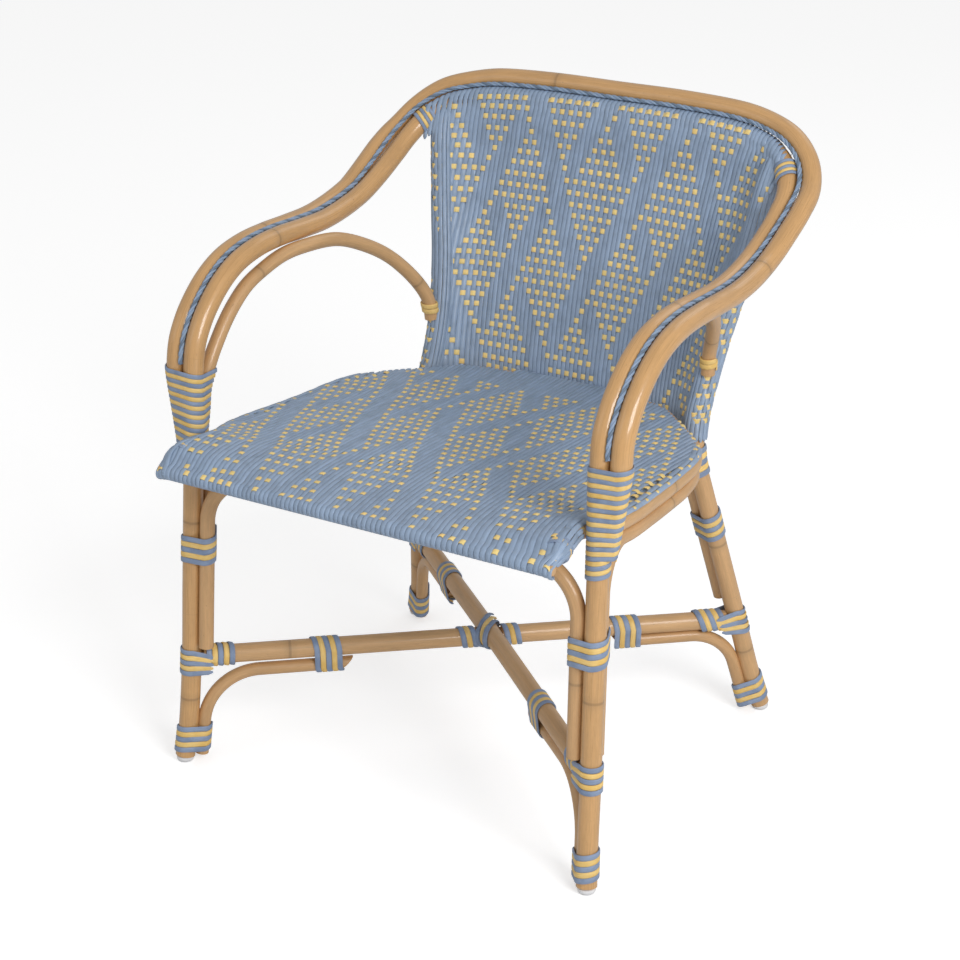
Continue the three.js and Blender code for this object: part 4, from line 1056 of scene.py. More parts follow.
class MakeArmBindings(bpy.types.Operator):
    """Wind the long bindings of the arms, the shoulders' bindings and the rings on the arcs"""
    bl_idname = "armchair.arm_bindings"
    bl_label = "Arm bindings"
    bl_options = {"REGISTER", "UNDO"}

    def execute(self, context):
        g = LINES
        low, high = g.leg(ARM_WRAP_LOW), g.leg(ARM_WRAP_HIGH)
        z = unit(high - low)
        low = low - z * 3.2
        x = unit(A([1.0, 0, 0]) - z * z[0])
        y = np.cross(z, x)
        members = [
            (g.inner[: g.shoulder], HOOP),
            (g.outer[: g.shoulder - g.scarf], g.outer_radius[: g.shoulder - g.scarf]),
            (g.arc[: 6 * SPAN], g.arc_radius[: 6 * SPAN]),
        ]
        lead = 2 * ARM_PITCH
        span = ARM_PAIRS * lead
        shoulder, way = g.inner[g.shoulder - 1], tangents(g.inner)[g.shoulder - 1]
        pole = [(g.inner[g.cover_from: g.shoulder + 2 * SPAN], HOOP)]
        second_half = np.arange(len(g.arc)) > len(g.arc) / 2
        ring = int(np.argmax(second_half & (g.arc[:, 2] < RING_TOP)))
        arc = [(g.arc[len(g.arc) // 2:], ARC)]
        for side, view in (("right", VIEW), ("left", VIEW * MIRROR)):
            phase = math.atan2(view @ y, view @ x)
            size = (5.6, 1.8)
            strips = [
                wound(low, z, x, members, -1.5 * lead, span + lead / 2, lead, phase, *size),
                wound(low, z, x, members, -lead, span, lead, phase + math.pi, *size),
                wound(g.arc[ring], tangents(g.arc)[ring], A([1.0, 0, 0]), arc, -7.2, 7.2, 7.2,
                      0.0, 6.6, 2.1),
                *two_colours(at_depth(g.rim, -16), A([0.1, 1.0, 0]), UP, [(g.rim[:70], RIM)],
                             view, 5.6, 2),
                *two_colours(shoulder, way, UP, pole, view, 4.8, 3),
            ]
            if side == "left":
                strips = mirrored(strips)
            blue, yellow, rings, tie_blue, tie_yellow, end_blue, end_yellow = strips
            nodes = ["arm_wrap_blue_" + side, "arm_wrap_yellow_" + side]
            bind(context, "arm_binding_" + side, nodes, [blue, tie_blue], [yellow, tie_yellow])
            for name, strip, slot, node in (
                ("shoulder_binding_blue_", end_blue, "blue", "shoulder_wrap_"),
                ("shoulder_binding_yellow_", end_yellow, "yellow", "shoulder_wrap_"),
                ("arc_ring_yellow_", rings, "yellow", "arc_ring_"),
            ):
                material = finish(context, "binding_" + slot)
                build(name + side, [strip], material, [node + side])
        return {"FINISHED"}


# ---------------------------------------------------------------- woven seat and back
WOVEN_POST = REAR + 2.4
WOVEN_HOOP = HOOP + 2.4
WARP_THICK, WARP_LIFT, WARP_DROP = 2.2, 0.4, 1.7
WEFT_THICK, WEFT_LIFT, WEFT_DROP = 1.4, 0.95, 2.45
LINING_DEPTH = 2.9
POST_STRANDS, POST_FROM = 15, -98  # blue strands round an upright, and where they start
POST_PITCH, SIDE_PITCH = 6.2, 6.4
# Places, in degrees, of a blue strand round the hoop, the front rail and the rim's rear.
HOOP_ROLL = [-65, -40, -15, 10, 35, 60, 85, 110, 135, 160, 182]
RAIL_ROLL = [30, 5, -20, -45, -70, -95, -120, -145, -170, -195, -220, -245, -262]
REAR_ROLL = [78, 52, 26, 0, -20]
BACK_HALF, SEAT_HALF, ROLL_HALF, REAR_ROLL_HALF = 262, 296, 264, 130  # how far strands go out
POST_TOP, POST_INSET = 757, 5
TIED_BELOW = 752  # rows below this height are tied round the uprights


def is_dot(column, row, falling, rising, over):
    """Whether yellow shows: at every other crossing, but for the plain bands both ways."""
    if (column + row - falling[0]) % 2:
        return False
    falls = {column + row - start: index for index, start in enumerate(falling)}
    rises = {column - row - start: index for index, start in enumerate(rising)}
    bare_fall, bare_rise, edge_fall, edge_rise = (
        next((bands[d] for d in steps if d in bands), None)
        for steps in ((2, 4), (0, 6)) for bands in (falls, rises))
    if bare_fall is not None and bare_rise is not None:
        return False
    if bare_fall is not None:
        return edge_rise is not None and over[bare_fall][edge_rise] == "R"
    if bare_rise is not None:
        return edge_fall is not None and over[edge_fall][bare_rise] == "F"
    return True


# Where each yellow row crosses the middle, where the plain bands start, which band is over where
# two meet, and how the columns lean and the rows sag.
BACK_ROWS = [786, 772.5, 757.5, 741, 726.2, 712, 697.4, 681.6, 666.5, 651.4, 637.2, 624, 611, 598,
             585.4, 572.1, 558.6, 544.8, 531, 517.9, 504.7, 491.2, 480.1, 467.9, 453.3, 436.3,
             423.5, 412.4]
BACK_FIRST_ROW, BACK_COLUMNS = -9, range(0, 92)
BACK_FALLING = (-3, 15, 31, 49, 65, 79)
BACK_RISING = (-15, 1, 17, 33, 51, 69, 87)
BACK_OVER = ("FRRFRFR", "RRFRFRF", "FRFRFRF", "RFRFFFF", "FRFRFRF", "RFRFFFF")
BACK_LEAN = (-8.4, 6.1, 17.4, 2.0, 261.4, 7.1, -8.4, -1.0, -3.0, -0.2, -23.6, 11.5, 21.8)
BACK_SAG = (-5.0, -0.2, 8.4, -0.2, -15.0, 0.0, 27.6, 19.3, 20.4, 4.3, -32.0)
SEAT_ROWS = [403.8, 391.7, 378.4, 365, 353.1, 339.5, 326.9, 311, 295.7, 280.9, 266.6, 250.4,
             237.9, 223.3, 208.7, 193.9, 180, 165.3, 150.6, 136.4, 122.4, 108.3, 94.7, 78.5, 57.1,
             35.4, 8.9, -16.5, -41]
SEAT_FIRST_ROW, SEAT_COLUMNS = -24, range(-2, 94)
SEAT_FALLING = (-9, 7, 25, 43, 59, 75, 93)
SEAT_RISING = (-21, -5, 11, 29, 45, 61, 79, 95)
SEAT_OVER = (
    "RRRRRFRF", "RRRRFFRF", "RFRFRFFR", "FRFRRFFR", "RFRFRRFR", "FRFRFRFF", "RFRFRFRF",
)
SEAT_LEAN = (7.1, 10.4, 9.6, -7.1, 262.6, -4.7, -1.2, 3.5, 12.3, -6.7, -6.4, -1.4, 11.7)
SEAT_SAG = (10.0, -3.7, -3.6, -0.6, -29.1, -51.5, 43.0, 17.1, 8.8, 29.2, -35.6)


def column_place(column, along, lean):
    """How far from the middle a blue strand lies; along goes from about -1 to 1 down the sheet."""
    i, t = (column - 45) / 40, along
    terms = (1, t, t * t, t**3, i, i * t, i * t * t, i * t**3, i * i, i * i * t,
             i**3, i**3 * t, i**3 * t * t)
    return sum(a * b for a, b in zip(lean, terms))


def row_sag(x, t, sag):
    """How far a yellow strand bends away from its place in the middle."""
    u = x / 250
    terms = (u, u * t, u * t * t, u * t**3, u * u, u * u * t, u * u * t * t, u * u * t**3,
             u**4, u**4 * t, u**4 * t * t)
    return sum(a * b for a, b in zip(sag, terms))


def crossing_wave(run, marks, reach_run):
    """How far a strand is pressed along its run: from 1 near a mark to 0 away from all."""
    if not len(marks):
        return np.zeros(len(run))
    d = np.abs(run[:, None] - A(marks)[None]).min(1) / reach_run
    return np.clip((0.5 + 0.5 * np.cos(math.pi * np.clip(d, 0, 1))) * 1.6, 0, 1)


TABLE_STEP = 4.0


def sheet_table():
    """The back sheet as its depth y at a height and a distance from the middle."""
    g = LINES
    join = next(i for i in range(g.cover_from + 1, len(g.inner)) if g.inner[i][0] < g.rear_end[0])
    end = g.inner[join]
    top_x = g.inner[join:, 0][::-1]
    side_top = end[2]
    foot = g.rear_at(BACK_BOTTOM)
    reach_out = g.upright[1] + BACK_BULGE - foot[1]
    us, vs = np.linspace(0, 1, 41), np.linspace(0, 1, 41)
    side = A([g.rear_at(side_top + (BACK_BOTTOM - side_top) * v) if v else end for v in vs])
    top = A([[np.interp(u * end[0], top_x, g.inner[join:, k][::-1]) for k in range(3)]
             for u in us])
    low = A([[u * foot[0], foot[1] + reach_out * (1 - u**4), BACK_BOTTOM] for u in us])
    v, s = vs[None, :, None], ((us + 1) / 2)[:, None, None]
    left = side * MIRROR
    p = top[:, None] * (1 - v) + low[:, None] * v + left[None] * (1 - s) + side[None] * s
    p = p - (end * MIRROR * (1 - s) + end * s) * (1 - v) - (foot * MIRROR * (1 - s) + foot * s) * v
    heights = np.arange(BACK_BOTTOM - 1, 800, TABLE_STEP)
    table = []
    for z in heights:
        xs = [np.interp(z, q[::-1, 2], q[::-1, 0]) for q in p]
        ys = [np.interp(z, q[::-1, 2], q[::-1, 1]) for q in p]
        table.append((xs, ys))
    return heights, A(table)


def bulge(distance, radius, run):
    """How far a sheet stands out near a pole under it: round the pole, then straight away from it."""
    touch_at = radius**2 / run
    if distance <= touch_at:
        return math.sqrt(max(radius**2 - distance**2, 0))
    if distance >= run:
        return 0.0
    return math.sqrt(radius**2 - touch_at**2) * ((run - distance) / (run - touch_at)) ** 1.35


def back_surface():
    """The middle of the front strands of the back, as a depth at a place seen from the front."""
    g = LINES
    heights, table = sheet_table()
    near_top = g.inner[g.shoulder:][::-1]
    posts = g.rear[g.rear[:, 2] > BACK_BOTTOM - 20]

    def depth(x, z):
        x = abs(x)
        k = min(max((z - heights[0]) / TABLE_STEP, 0), len(heights) - 1.001)
        i = int(k)
        a = np.interp(x, table[i, 0], table[i, 1])
        b = np.interp(x, table[i + 1, 0], table[i + 1, 1])
        post = np.interp(z, posts[:, 2], posts[:, 0])
        hoop = np.interp(x, near_top[:, 0], near_top[:, 2])
        side = bulge(max(post - x, 0), WOVEN_POST, 46) if post - x < 46 else 0
        top = bulge(hoop - z, WOVEN_HOOP, 60)
        return a + (b - a) * (k - i) - max(side, top)

    return depth


def refined(path, out, step, width):
    """The same path, its outward ways and its widths at even steps."""
    run = lengths(path)
    width = np.broadcast_to(np.asarray(width, float), (len(path),))
    at = np.linspace(0, run[-1], max(4, int(run[-1] / step)))
    path, out = (A([np.interp(at, run, v[:, k]) for k in range(3)]).T for v in (path, out))
    return path, out / np.linalg.norm(out, axis=1)[:, None], np.interp(at, run, width)


def rounded(centre, radius, degrees):
    """Points round a pole that runs from side to side, and their outward ways."""
    ways = [A([0, math.cos(a), math.sin(a)]) for a in np.radians(degrees)]
    return [centre + n * radius for n in ways], ways


def warp(path, out, marks, width):
    """A blue strand: it lies in front, and dips behind a yellow one at each mark."""
    path, out, width = refined(path, out, 3.4, width)
    height = WARP_LIFT - WARP_DROP * crossing_wave(lengths(path), marks, 7.2)
    return strap(path + out * height[:, None], out, width - 0.25, WARP_THICK, 0.45)


def weft(path, out, marks, width):
    """A yellow strand: it lies behind, and passes in front of one blue strand at each mark."""
    path, out, width = refined(path, out, 1.6, width)
    height = WEFT_LIFT - WEFT_DROP * (1 - crossing_wave(lengths(path), marks, 5.6))
    return strap(path + out * height[:, None], out, width, WEFT_THICK, 0.4)


def lining(path, out, width):
    """A plain blue strand at the back of the weave."""
    path, out, width = refined(path, out, 11, width)
    return strap(path - out * LINING_DEPTH, -out, width + 0.3, 1.4, 0.5)


class MakeBackWeave(bpy.types.Operator):
    """Weave the back: blue strands over the hoop and down the sheet, yellow ones across as dots"""
    bl_idname = "armchair.back_weave"
    bl_label = "Woven back"
    bl_options = {"REGISTER", "UNDO"}

    def execute(self, context):
        g = LINES
        dot = context.scene.armchair_sizes.dot_width * 1000
        depth = back_surface()
        near_top = g.inner[g.shoulder:][::-1]
        post_x = lambda z: float(g.rear_at(z)[0])
        column_x = lambda c, z: column_place(c, (z - 600) / 200, BACK_LEAN)
        row_z = lambda j, x: BACK_ROWS[j - BACK_FIRST_ROW] + row_sag(x, (j - 4) / 14, BACK_SAG)
        dotted = lambda c, j: is_dot(c, j, BACK_FALLING, BACK_RISING, BACK_OVER)
        rows_used = range(BACK_FIRST_ROW, BACK_FIRST_ROW + len(BACK_ROWS))

        def place(x, z):
            """The point of the sheet and its outward way."""
            p = A([x, depth(x, z), z])
            across = A([x + 1.5, depth(x + 1.5, z), z]) - A([x - 1.5, depth(x - 1.5, z), z])
            up = A([x, depth(x, z + 2), z + 2]) - A([x, depth(x, z - 2), z - 2])
            return p, unit(np.cross(across, up))

        def spread(c, z):
            a, b = column_x(c - 0.5, z), column_x(c + 0.5, z)
            return math.hypot(b - a, depth(b, z) - depth(a, z))

        blue, yellow = [], []
        # Blue strands of the sheet, from behind the hoop over it and down.
        for c in BACK_COLUMNS:
            z = 770.0
            for _ in range(3):
                z = float(np.interp(abs(column_x(c, z)), near_top[:, 0], near_top[:, 2]))
            top = z - 6
            x = column_x(c, top)
            if abs(x) > BACK_HALF:
                continue
            centre = A([x, np.interp(abs(x), near_top[:, 0], near_top[:, 1]), z])
            path, out = rounded(centre, WOVEN_HOOP, HOOP_ROLL)
            width = [spread(c, top)] * len(path)
            z = top
            while z > BACK_BOTTOM:
                x = column_x(c, z)
                if abs(x) > post_x(z) - 3 and z < top - 26:
                    break
                p, n = place(x, z)
                path.append(p)
                out.append(n)
                width.append(spread(c, z))
                z -= 5
            path, out, width = A(path), A(out), A(width)
            run, low = lengths(path), path[7:]
            marks = []
            for j in rows_used:
                if dotted(c, j):
                    z = row_z(j, 0)
                    for _ in range(3):
                        z = row_z(j, column_x(c, z))
                    if low[-1][2] < z < low[0][2]:
                        marks.append(float(np.interp(-z, -low[:, 2], run[7:])))
            blue.append(warp(path, out, marks, width))
            if len(path) > 24:
                blue.append(lining(path[9:], out[9:], width[9:]))
        # Yellow strands across, tied round the uprights.
        turn = 2 * math.pi / POST_STRANDS
        for j in rows_used:
            limit = 200.0
            for _ in range(3):
                limit = post_x(min(row_z(j, limit), POST_TOP)) - POST_INSET
            ends = []
            tied = row_z(j, limit) < TIED_BELOW
            if not tied:
                open_x = [x for x in range(0, 256, 3)
                          if row_z(j, x) < np.interp(x, near_top[:, 0], near_top[:, 2]) + 11]
                limit = min(max(open_x, default=100), 254)
            xs = np.linspace(-limit, limit, int(limit / 1.5))
            path, out = (list(some) for some in zip(*[place(x, row_z(j, x)) for x in xs]))
            if tied:
                ends = [A([math.cos(a), math.sin(a), 0])
                        for a in np.radians(range(POST_FROM, 131, 12))]
                right, left = ([g.rear_at(row_z(j, sign * limit)) + n * WOVEN_POST for n in ends]
                               for sign in (1, -1))
                path = [p * MIRROR for p in left[::-1]] + path + right
                out = [n * MIRROR for n in ends[::-1]] + out + ends
            path, out = A(path), A(out)
            run = lengths(path)
            first = len(ends)
            sheet = slice(first, len(path) - first)
            marks, reached = [], []
            for c in BACK_COLUMNS:
                x = column_x(c, row_z(j, column_x(c, row_z(j, 0))))
                if abs(x) <= limit + 1:
                    reached.append(c)
                    if dotted(c, j):
                        marks.append(float(np.interp(x, path[sheet, 0], run[sheet])))
            if tied:
                for n in range(1, 10):
                    if dotted(reached[-1] + n, j):
                        marks.append(run[sheet][-1] + n * POST_PITCH)
                    if dotted(reached[0] - n, j):
                        marks.append(run[sheet][0] - n * POST_PITCH)
            yellow.append(weft(path, out, marks, dot))
        # Blue strands along the uprights.
        post = g.rear[(g.rear[:, 2] > BACK_BOTTOM) & (g.rear[:, 2] < 758)]
        for n in range(POST_STRANDS):
            angle = math.radians(POST_FROM) + (n + 0.6) * turn
            way = A([math.cos(angle), math.sin(angle), 0])
            path = post + way * WOVEN_POST
            out = np.repeat(way[None], len(path), axis=0)
            run = lengths(path)
            for sign in (1, -1):
                marks = []
                for j in rows_used:
                    limit = post_x(min(row_z(j, sign * 230), POST_TOP)) - POST_INSET
                    z = row_z(j, sign * limit)
                    if n > 8 or not path[0][2] < z < TIED_BELOW:
                        continue
                    reached = [c for c in BACK_COLUMNS if abs(column_x(c, z)) <= limit + 1]
                    if dotted(reached[-1] + n + 1 if sign > 0 else reached[0] - n - 1, j):
                        marks.append(float(np.interp(z, path[:, 2], run)))
                one = [warp(path, out, marks, WOVEN_POST * turn)]
                blue += one if sign > 0 else mirrored(one)
        for name, parts in (("blue", blue), ("yellow", yellow)):
            build("back_strands_" + name, parts, finish(context, "weave_" + name),
                  ["back_weave"], angle=60)
        return {"FINISHED"}


class MakeSeatWeave(bpy.types.Operator):
    """Weave the seat: blue strands from the front rail to the rear, yellow ones across as dots"""
    bl_idname = "armchair.seat_weave"
    bl_label = "Woven seat"
    bl_options = {"REGISTER", "UNDO"}

    def execute(self, context):
        g = LINES
        dot = context.scene.armchair_sizes.dot_width * 1000
        rising = g.rim[: int(np.argmax(g.rim[:, 1]))]
        rim_y, rim_x, rim_z = rising[:, 1], rising[:, 0], rising[:, 2]
        lift = RIM + COVER - 2.0
        roll = RAIL + 2.2
        column_x = lambda c, y: column_place(c, (max(y, -45) - 200) / 200, SEAT_LEAN)
        row_y = lambda j, x: max(
            SEAT_ROWS[j - SEAT_FIRST_ROW] + row_sag(x, (j + 10) / 14, SEAT_SAG), g.rim_front - 4.4)
        spread = lambda c, y: abs(column_x(c + 0.5, y) - column_x(c - 0.5, y))
        dotted = lambda c, j: is_dot(c, j, SEAT_FALLING, SEAT_RISING, SEAT_OVER)
        rows_used = range(SEAT_FIRST_ROW, SEAT_FIRST_ROW + len(SEAT_ROWS))

        def surface(x, y):
            """The height of the sheet, which rises to the rim at both sides."""
            px, pz = np.interp(y, rim_y, rim_x), np.interp(y, rim_y, rim_z)
            ease = min(max((-18 - y) / 27, 0), 1) ** 1.4
            pz = pz + (g.front_lift - pz) * ease
            share = (y - g.rim_front) / (g.rim_rear - g.rim_front)
            mid = g.front_lift + (g.rim_height - g.front_lift) * share
            u = min(abs(x) / max(px, 1), 1.0)
            past = max(abs(x) - px, 0)
            if y < g.rim_front:
                return g.rail_height + math.sqrt(roll**2 - (y - g.rim_front) ** 2) - 0.4
            return mid + (pz - mid) * u * u + lift - past * past * 0.03

        def upward(x, y):
            if y < g.rim_front - 1:
                return unit(A([0, y - g.rim_front, surface(x, y) - g.rail_height]))
            if y < g.rim_front + 4:
                return UP
            dx = surface(x + 2, y) - surface(x - 2, y)
            dy = surface(x, y + 2) - surface(x, y - 2)
            return unit(A([-dx, -dy, 4.0]))

        blue, yellow = [], []
        # Blue strands, in one run or more where the rim is narrower between its ends.
        for c in SEAT_COLUMNS:
            x = column_x(c, g.rim_front)
            width = spread(c, g.rim_front)
            if abs(x) > SEAT_HALF:
                continue
            path, out = rounded(A([x, g.rim_front, g.rail_height]), roll, RAIL_ROLL)
            wide = [width] * len(path)
            places = np.arange(g.rim_front + 5, g.rim_rear + 2, 6)
            inside = A([abs(column_x(c, y)) < np.interp(y, rim_y, rim_x) + 8 for y in places])
            breaks = np.nonzero(np.diff(inside.astype(int)))[0] + 1
            for piece in np.split(np.arange(len(places)), breaks):
                if not inside[piece[0]] or len(piece) < 6:
                    continue
                at_front = piece[0] == 0 and abs(x) < ROLL_HALF
                points, ways, widths = (path, out, wide) if at_front else ([], [], [])
                first = len(points) - 3 if at_front else 0
                for y in places[piece]:
                    x = column_x(c, y)
                    points.append(A([x, y, surface(x, y)]))
                    ways.append(upward(x, y))
                    widths.append(spread(c, y))
                if piece[-1] == len(places) - 1 and abs(x) < REAR_ROLL_HALF:
                    end, turned = rounded(A([x, g.rim_rear, g.rim_height]), RIM + 2.0, REAR_ROLL)
                    points, ways = points + end, ways + turned
                    widths = widths + [widths[-1]] * len(end)
                points, ways, widths = A(points), A(ways), A(widths)
                run = lengths(points)
                marks = []
                for j in rows_used:
                    if dotted(c, j):
                        y = row_y(j, column_x(c, SEAT_ROWS[j - SEAT_FIRST_ROW]))
                        y = row_y(j, column_x(c, y))
                        if points[first, 1] <= y < points[:, 1].max() - 4:
                            marks.append(float(np.interp(y, points[first:, 1], run[first:])))
                blue.append(warp(points, ways, marks, widths))
                if len(points) > 20:
                    low = first + 4
                    blue.append(lining(points[low:], ways[low:], widths[low:]))
        # Yellow strands across, rolled over the sides.
        for j in rows_used:
            limit = 200.0
            for _ in range(3):
                limit = float(np.interp(row_y(j, limit), rim_y, rim_x)) - 2
            if row_y(j, 0) > g.rim_rear - 1:
                continue
            xs = np.linspace(-limit, limit, int(limit / 1.5))
            path = [A([x, row_y(j, x), surface(x, row_y(j, x))]) for x in xs]
            out = [upward(x, row_y(j, x)) for x in xs]
            near_front = row_y(j, limit) < 40
            ways = [A([math.cos(a), 0, math.sin(a)])
                    for a in np.radians(range(84, -5 if near_front else 40, -9))]
            ends = []
            for sign in (1, -1):
                y = row_y(j, sign * limit)
                middle = A([np.interp(y, rim_y, rim_x), y, np.interp(y, rim_y, rim_z)])
                r = float(np.interp(y, [g.rim_front, g.rim_front + 30], [RAIL, RIM])) + 1.6
                ends.append([middle + n * r for n in ways])
            path = [p * MIRROR for p in ends[1][::-1]] + path + ends[0]
            out = [n * MIRROR for n in ways[::-1]] + out + ways
            path, out = A(path), A(out)
            run = lengths(path)
            sheet = slice(len(ways), len(path) - len(ways))
            marks = []
            for c in SEAT_COLUMNS:
                x = column_x(c, row_y(j, column_x(c, SEAT_ROWS[j - SEAT_FIRST_ROW])))
                if abs(x) <= (ROLL_HALF - 6 if near_front else limit) and dotted(c, j):
                    marks.append(float(np.interp(x, path[sheet, 0], run[sheet])))
            for n in range(2):
                if (n + j) % 2 and not near_front:
                    away = (n + 0.8) * SIDE_PITCH
                    marks += [run[sheet][-1] + away, run[sheet][0] - away]
            yellow.append(weft(path, out, marks, dot))
        # Plain strands below the sheet along its sides.
        places = np.arange(-20, 340, 8.0)
        for inset in range(3, 46, 6):
            xs = np.interp(places, rim_y, rim_x) - inset
            path = A([[x, y, surface(x, y) - 0.6] for x, y in zip(xs, places)])
            out = A([upward(x, y) for x, y in zip(xs, places)])
            under = [lining(path, out, 7.0)]
            blue += under + mirrored(under)
        # Blue strands along the rolled sides: more of them round the front corners.
        for n, angle in enumerate(np.radians([80, 54, 28, 2])):
            sides = g.rim[(np.arange(len(g.rim)) > 3) & (g.rim[:, 1] < (352 if n < 2 else 30))]
            across = A([unit(A([t[1], -t[0], 0])) for t in tangents(sides)])
            ways = across * math.cos(angle) + UP * math.sin(angle)
            share = np.clip(np.arange(len(sides)) / 16, 0, 1)
            path = sides + ways * (RAIL + (RIM - RAIL) * share + 2.5)[:, None]
            if n < 3:
                corner = A([262.5 + 5.4 * n, g.rim_front, g.rail_height - 1.5 * n])
                start, over = rounded(corner, roll - 0.7 * n, range(-60, -250, -20))
                path, ways = np.vstack([start, path[6:]]), np.vstack([over, ways[6:]])
            run = lengths(path)
            for sign in (1, -1):
                marks = []
                for j in rows_used:
                    y = row_y(j, sign * float(np.interp(row_y(j, sign * 270), rim_y, rim_x)))
                    if (n + j) % 2 and path[0][1] < y < path[-1][1]:
                        marks.append(float(np.interp(y, path[:, 1], run)))
                one = [warp(path, ways, marks, SIDE_PITCH)]
                blue += one if sign > 0 else mirrored(one)
        for name, parts in (("blue", blue), ("yellow", yellow)):
            build("seat_strands_" + name, parts, finish(context, "weave_" + name),
                  ["seat_weave"], angle=60)
        return {"FINISHED"}


# ---------------------------------------------------------------- glides and stage
class MakeGlides(bpy.types.Operator):
    """Turn the four rounded glides under the feet"""
    bl_idname = "armchair.glides"
    bl_label = "Glides"
    bl_options = {"REGISTER", "UNDO"}

    def execute(self, context):
        profile = [(1.5, 0), (5.2, 0), (8.2, 0.5), (10.2, 1.6), (11.1, 3.4), (11.4, 5.5),
                   (11.2, 7.4), (10.4, 8.0), (3, 8.0)]
        angles = np.arange(32) * 2 * math.pi / 32
        for c in corners():
            foot = c["leg"](FOOT_CUT)
            rings = A([[[foot[0] + r * math.cos(a), foot[1] + r * math.sin(a), z] for a in angles]
                       for r, z in profile])
            build("glide_cap_" + c["name"], [(rings, rings - foot)],
                  finish(context, "glide_plastic"), ["glide_" + c["name"]], angle=40)
        return {"FINISHED"}


FLOOR_GLOW = 0.52  # what the camera sees of the floor besides its light and shadow


def stage_material(name, pale):
    """A pale floor that shows white where it is lit, and keeps the chair's shadow."""
    material, tree = fresh_material(name)
    place = add_node(tree, "ShaderNodeTexCoord").outputs["Object"]
    soft = noise(tree, place, 2.0, 2.0)
    patches = reach(tree, soft, 0.3, 0.7, 0.0, 0.04)
    base = mixed(tree, patches, (pale, pale, pale), (pale * 0.97,) * 3)
    body = add_node(tree, "ShaderNodeBsdfDiffuse", {"Color": base})
    path = add_node(tree, "ShaderNodeLightPath")
    seen = maths(tree, "MULTIPLY", path.outputs["Is Camera Ray"], FLOOR_GLOW)
    glow = add_node(tree, "ShaderNodeEmission", {"Color": (1, 1, 1, 1), "Strength": seen})
    both_shaders = add_node(tree, "ShaderNodeAddShader", {0: body.outputs[0], 1: glow.outputs[0]})
    finish_material(tree, both_shaders)
    return material


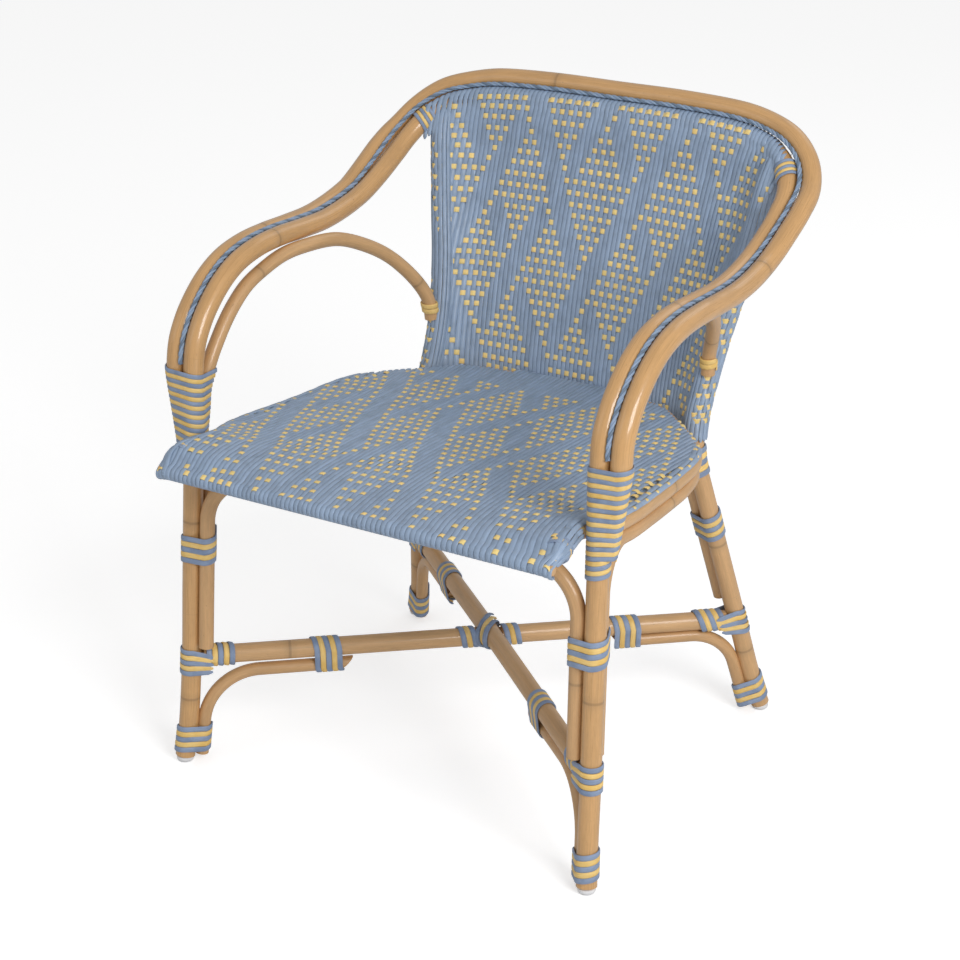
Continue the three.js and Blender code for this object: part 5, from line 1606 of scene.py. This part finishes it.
class MakeStage(bpy.types.Operator):
    """Set up the camera, the soft lamps, the pale floor and the white surround"""
    bl_idname = "armchair.stage"
    bl_label = "Stage"
    bl_options = {"REGISTER", "UNDO"}

    def execute(self, context):
        scene = context.scene
        s = scene.armchair_stage
        scene.view_settings.view_transform = "Standard"
        level = A([math.sin(VIEW_AZIMUTH), -math.cos(VIEW_AZIMUTH), 0])
        back = level * math.cos(VIEW_HEIGHT) + UP * math.sin(VIEW_HEIGHT)
        right = A([math.cos(VIEW_AZIMUTH), math.sin(VIEW_AZIMUTH), 0])
        up = np.cross(back, right)
        place = (A(VIEW_TARGET) + SHIFT + back * VIEW_DISTANCE) / 1000
        turn = Matrix((right, up, back)).transposed().to_euler()
        bpy.ops.object.select_all(action="DESELECT")
        bpy.ops.object.camera_add(location=place, rotation=turn)
        camera = context.object
        camera.data.lens, camera.data.sensor_width, camera.data.clip_end = s.lens, 36, 50
        scene.camera = camera
        bpy.ops.mesh.primitive_plane_add(size=30, location=(0, 0, 0))
        floor = context.object
        floor.name = "stage_floor"
        floor.data.materials.append(stage_material("floor_pale", 0.8))
        for name, spot, size, power in (
            ("key", (2.7, -1.5, 2.2), 1.5, s.key),
            ("fill", (-1.7, -2.6, 2.0), 1.6, s.fill),
            ("rim", (0.4, 2.4, 2.8), 1.4, s.fill),
        ):
            spot = A(spot)
            z = unit(spot - A([0, 0, 0.4]))
            x = unit(np.cross(UP, z))
            turn = Matrix((x, np.cross(z, x), z)).transposed().to_euler()
            bpy.ops.object.light_add(type="AREA", location=spot, rotation=turn)
            lamp = context.object
            lamp.name = "lamp_" + name
            lamp.data.size, lamp.data.energy = size, power
        world = scene.world or bpy.data.worlds.new("surround")
        scene.world = world
        world.use_nodes = True
        tree = world.node_tree
        tree.nodes.clear()
        path = add_node(tree, "ShaderNodeLightPath")
        through = path.outputs["Is Transmission Ray"]
        seen = maths(tree, "MAXIMUM", path.outputs["Is Camera Ray"], through)
        strength = reach(tree, seen, 0.0, 1.0, s.sky, 1.0)
        white = {"Color": (1, 1, 1, 1), "Strength": strength}
        surround = add_node(tree, "ShaderNodeBackground", white)
        out = tree.nodes.new("ShaderNodeOutputWorld")
        tree.links.new(surround.outputs[0], out.inputs["Surface"])
        bpy.ops.object.select_all(action="DESELECT")
        return {"FINISHED"}


STEPS = (
    MakeStage, MakeHoops, MakeGrooveCord, MakeRearLegs, MakeArcBraces, MakeSeatFrame, MakeBraces,
    MakeStretchers, MakeKnees, MakeFootBindings, MakeJointBindings, MakeSeatBindings, MakeArmBindings,
    MakeSeatWeave, MakeBackWeave, MakeGlides,
)


GROUPS = {
    "armchair_colours": ArmchairColours,
    "armchair_sizes": ArmchairSizes,
    "armchair_stage": ArmchairStage,
}


class ArmchairPanel(bpy.types.Panel):
    """The armchair's pieces, sizes and colours"""
    bl_idname = "VIEW3D_PT_armchair"
    bl_label = "Rattan Bistro Armchair"
    bl_space_type = "VIEW_3D"
    bl_region_type = "UI"
    bl_category = "Armchair"

    def draw(self, context):
        column = self.layout.column()
        for step in STEPS:
            column.operator(step.bl_idname)
        for key in GROUPS:
            box, group = self.layout.box(), getattr(context.scene, key)
            for name in group.__annotations__:
                box.prop(group, name)


def register():
    for name, group in GROUPS.items():
        bpy.utils.register_class(group)
        setattr(bpy.types.Scene, name, bpy.props.PointerProperty(type=group))
    for step in STEPS:
        bpy.utils.register_class(step)
    bpy.utils.register_class(ArmchairPanel)


def unregister():
    bpy.utils.unregister_class(ArmchairPanel)
    for step in reversed(STEPS):
        bpy.utils.unregister_class(step)
    for name, group in GROUPS.items():
        delattr(bpy.types.Scene, name)
        bpy.utils.unregister_class(group)


def main():
    register()
    for step in STEPS:
        group, name = step.bl_idname.split(".")
        getattr(getattr(bpy.ops, group), name)()


if __name__ == "__main__":
    main()
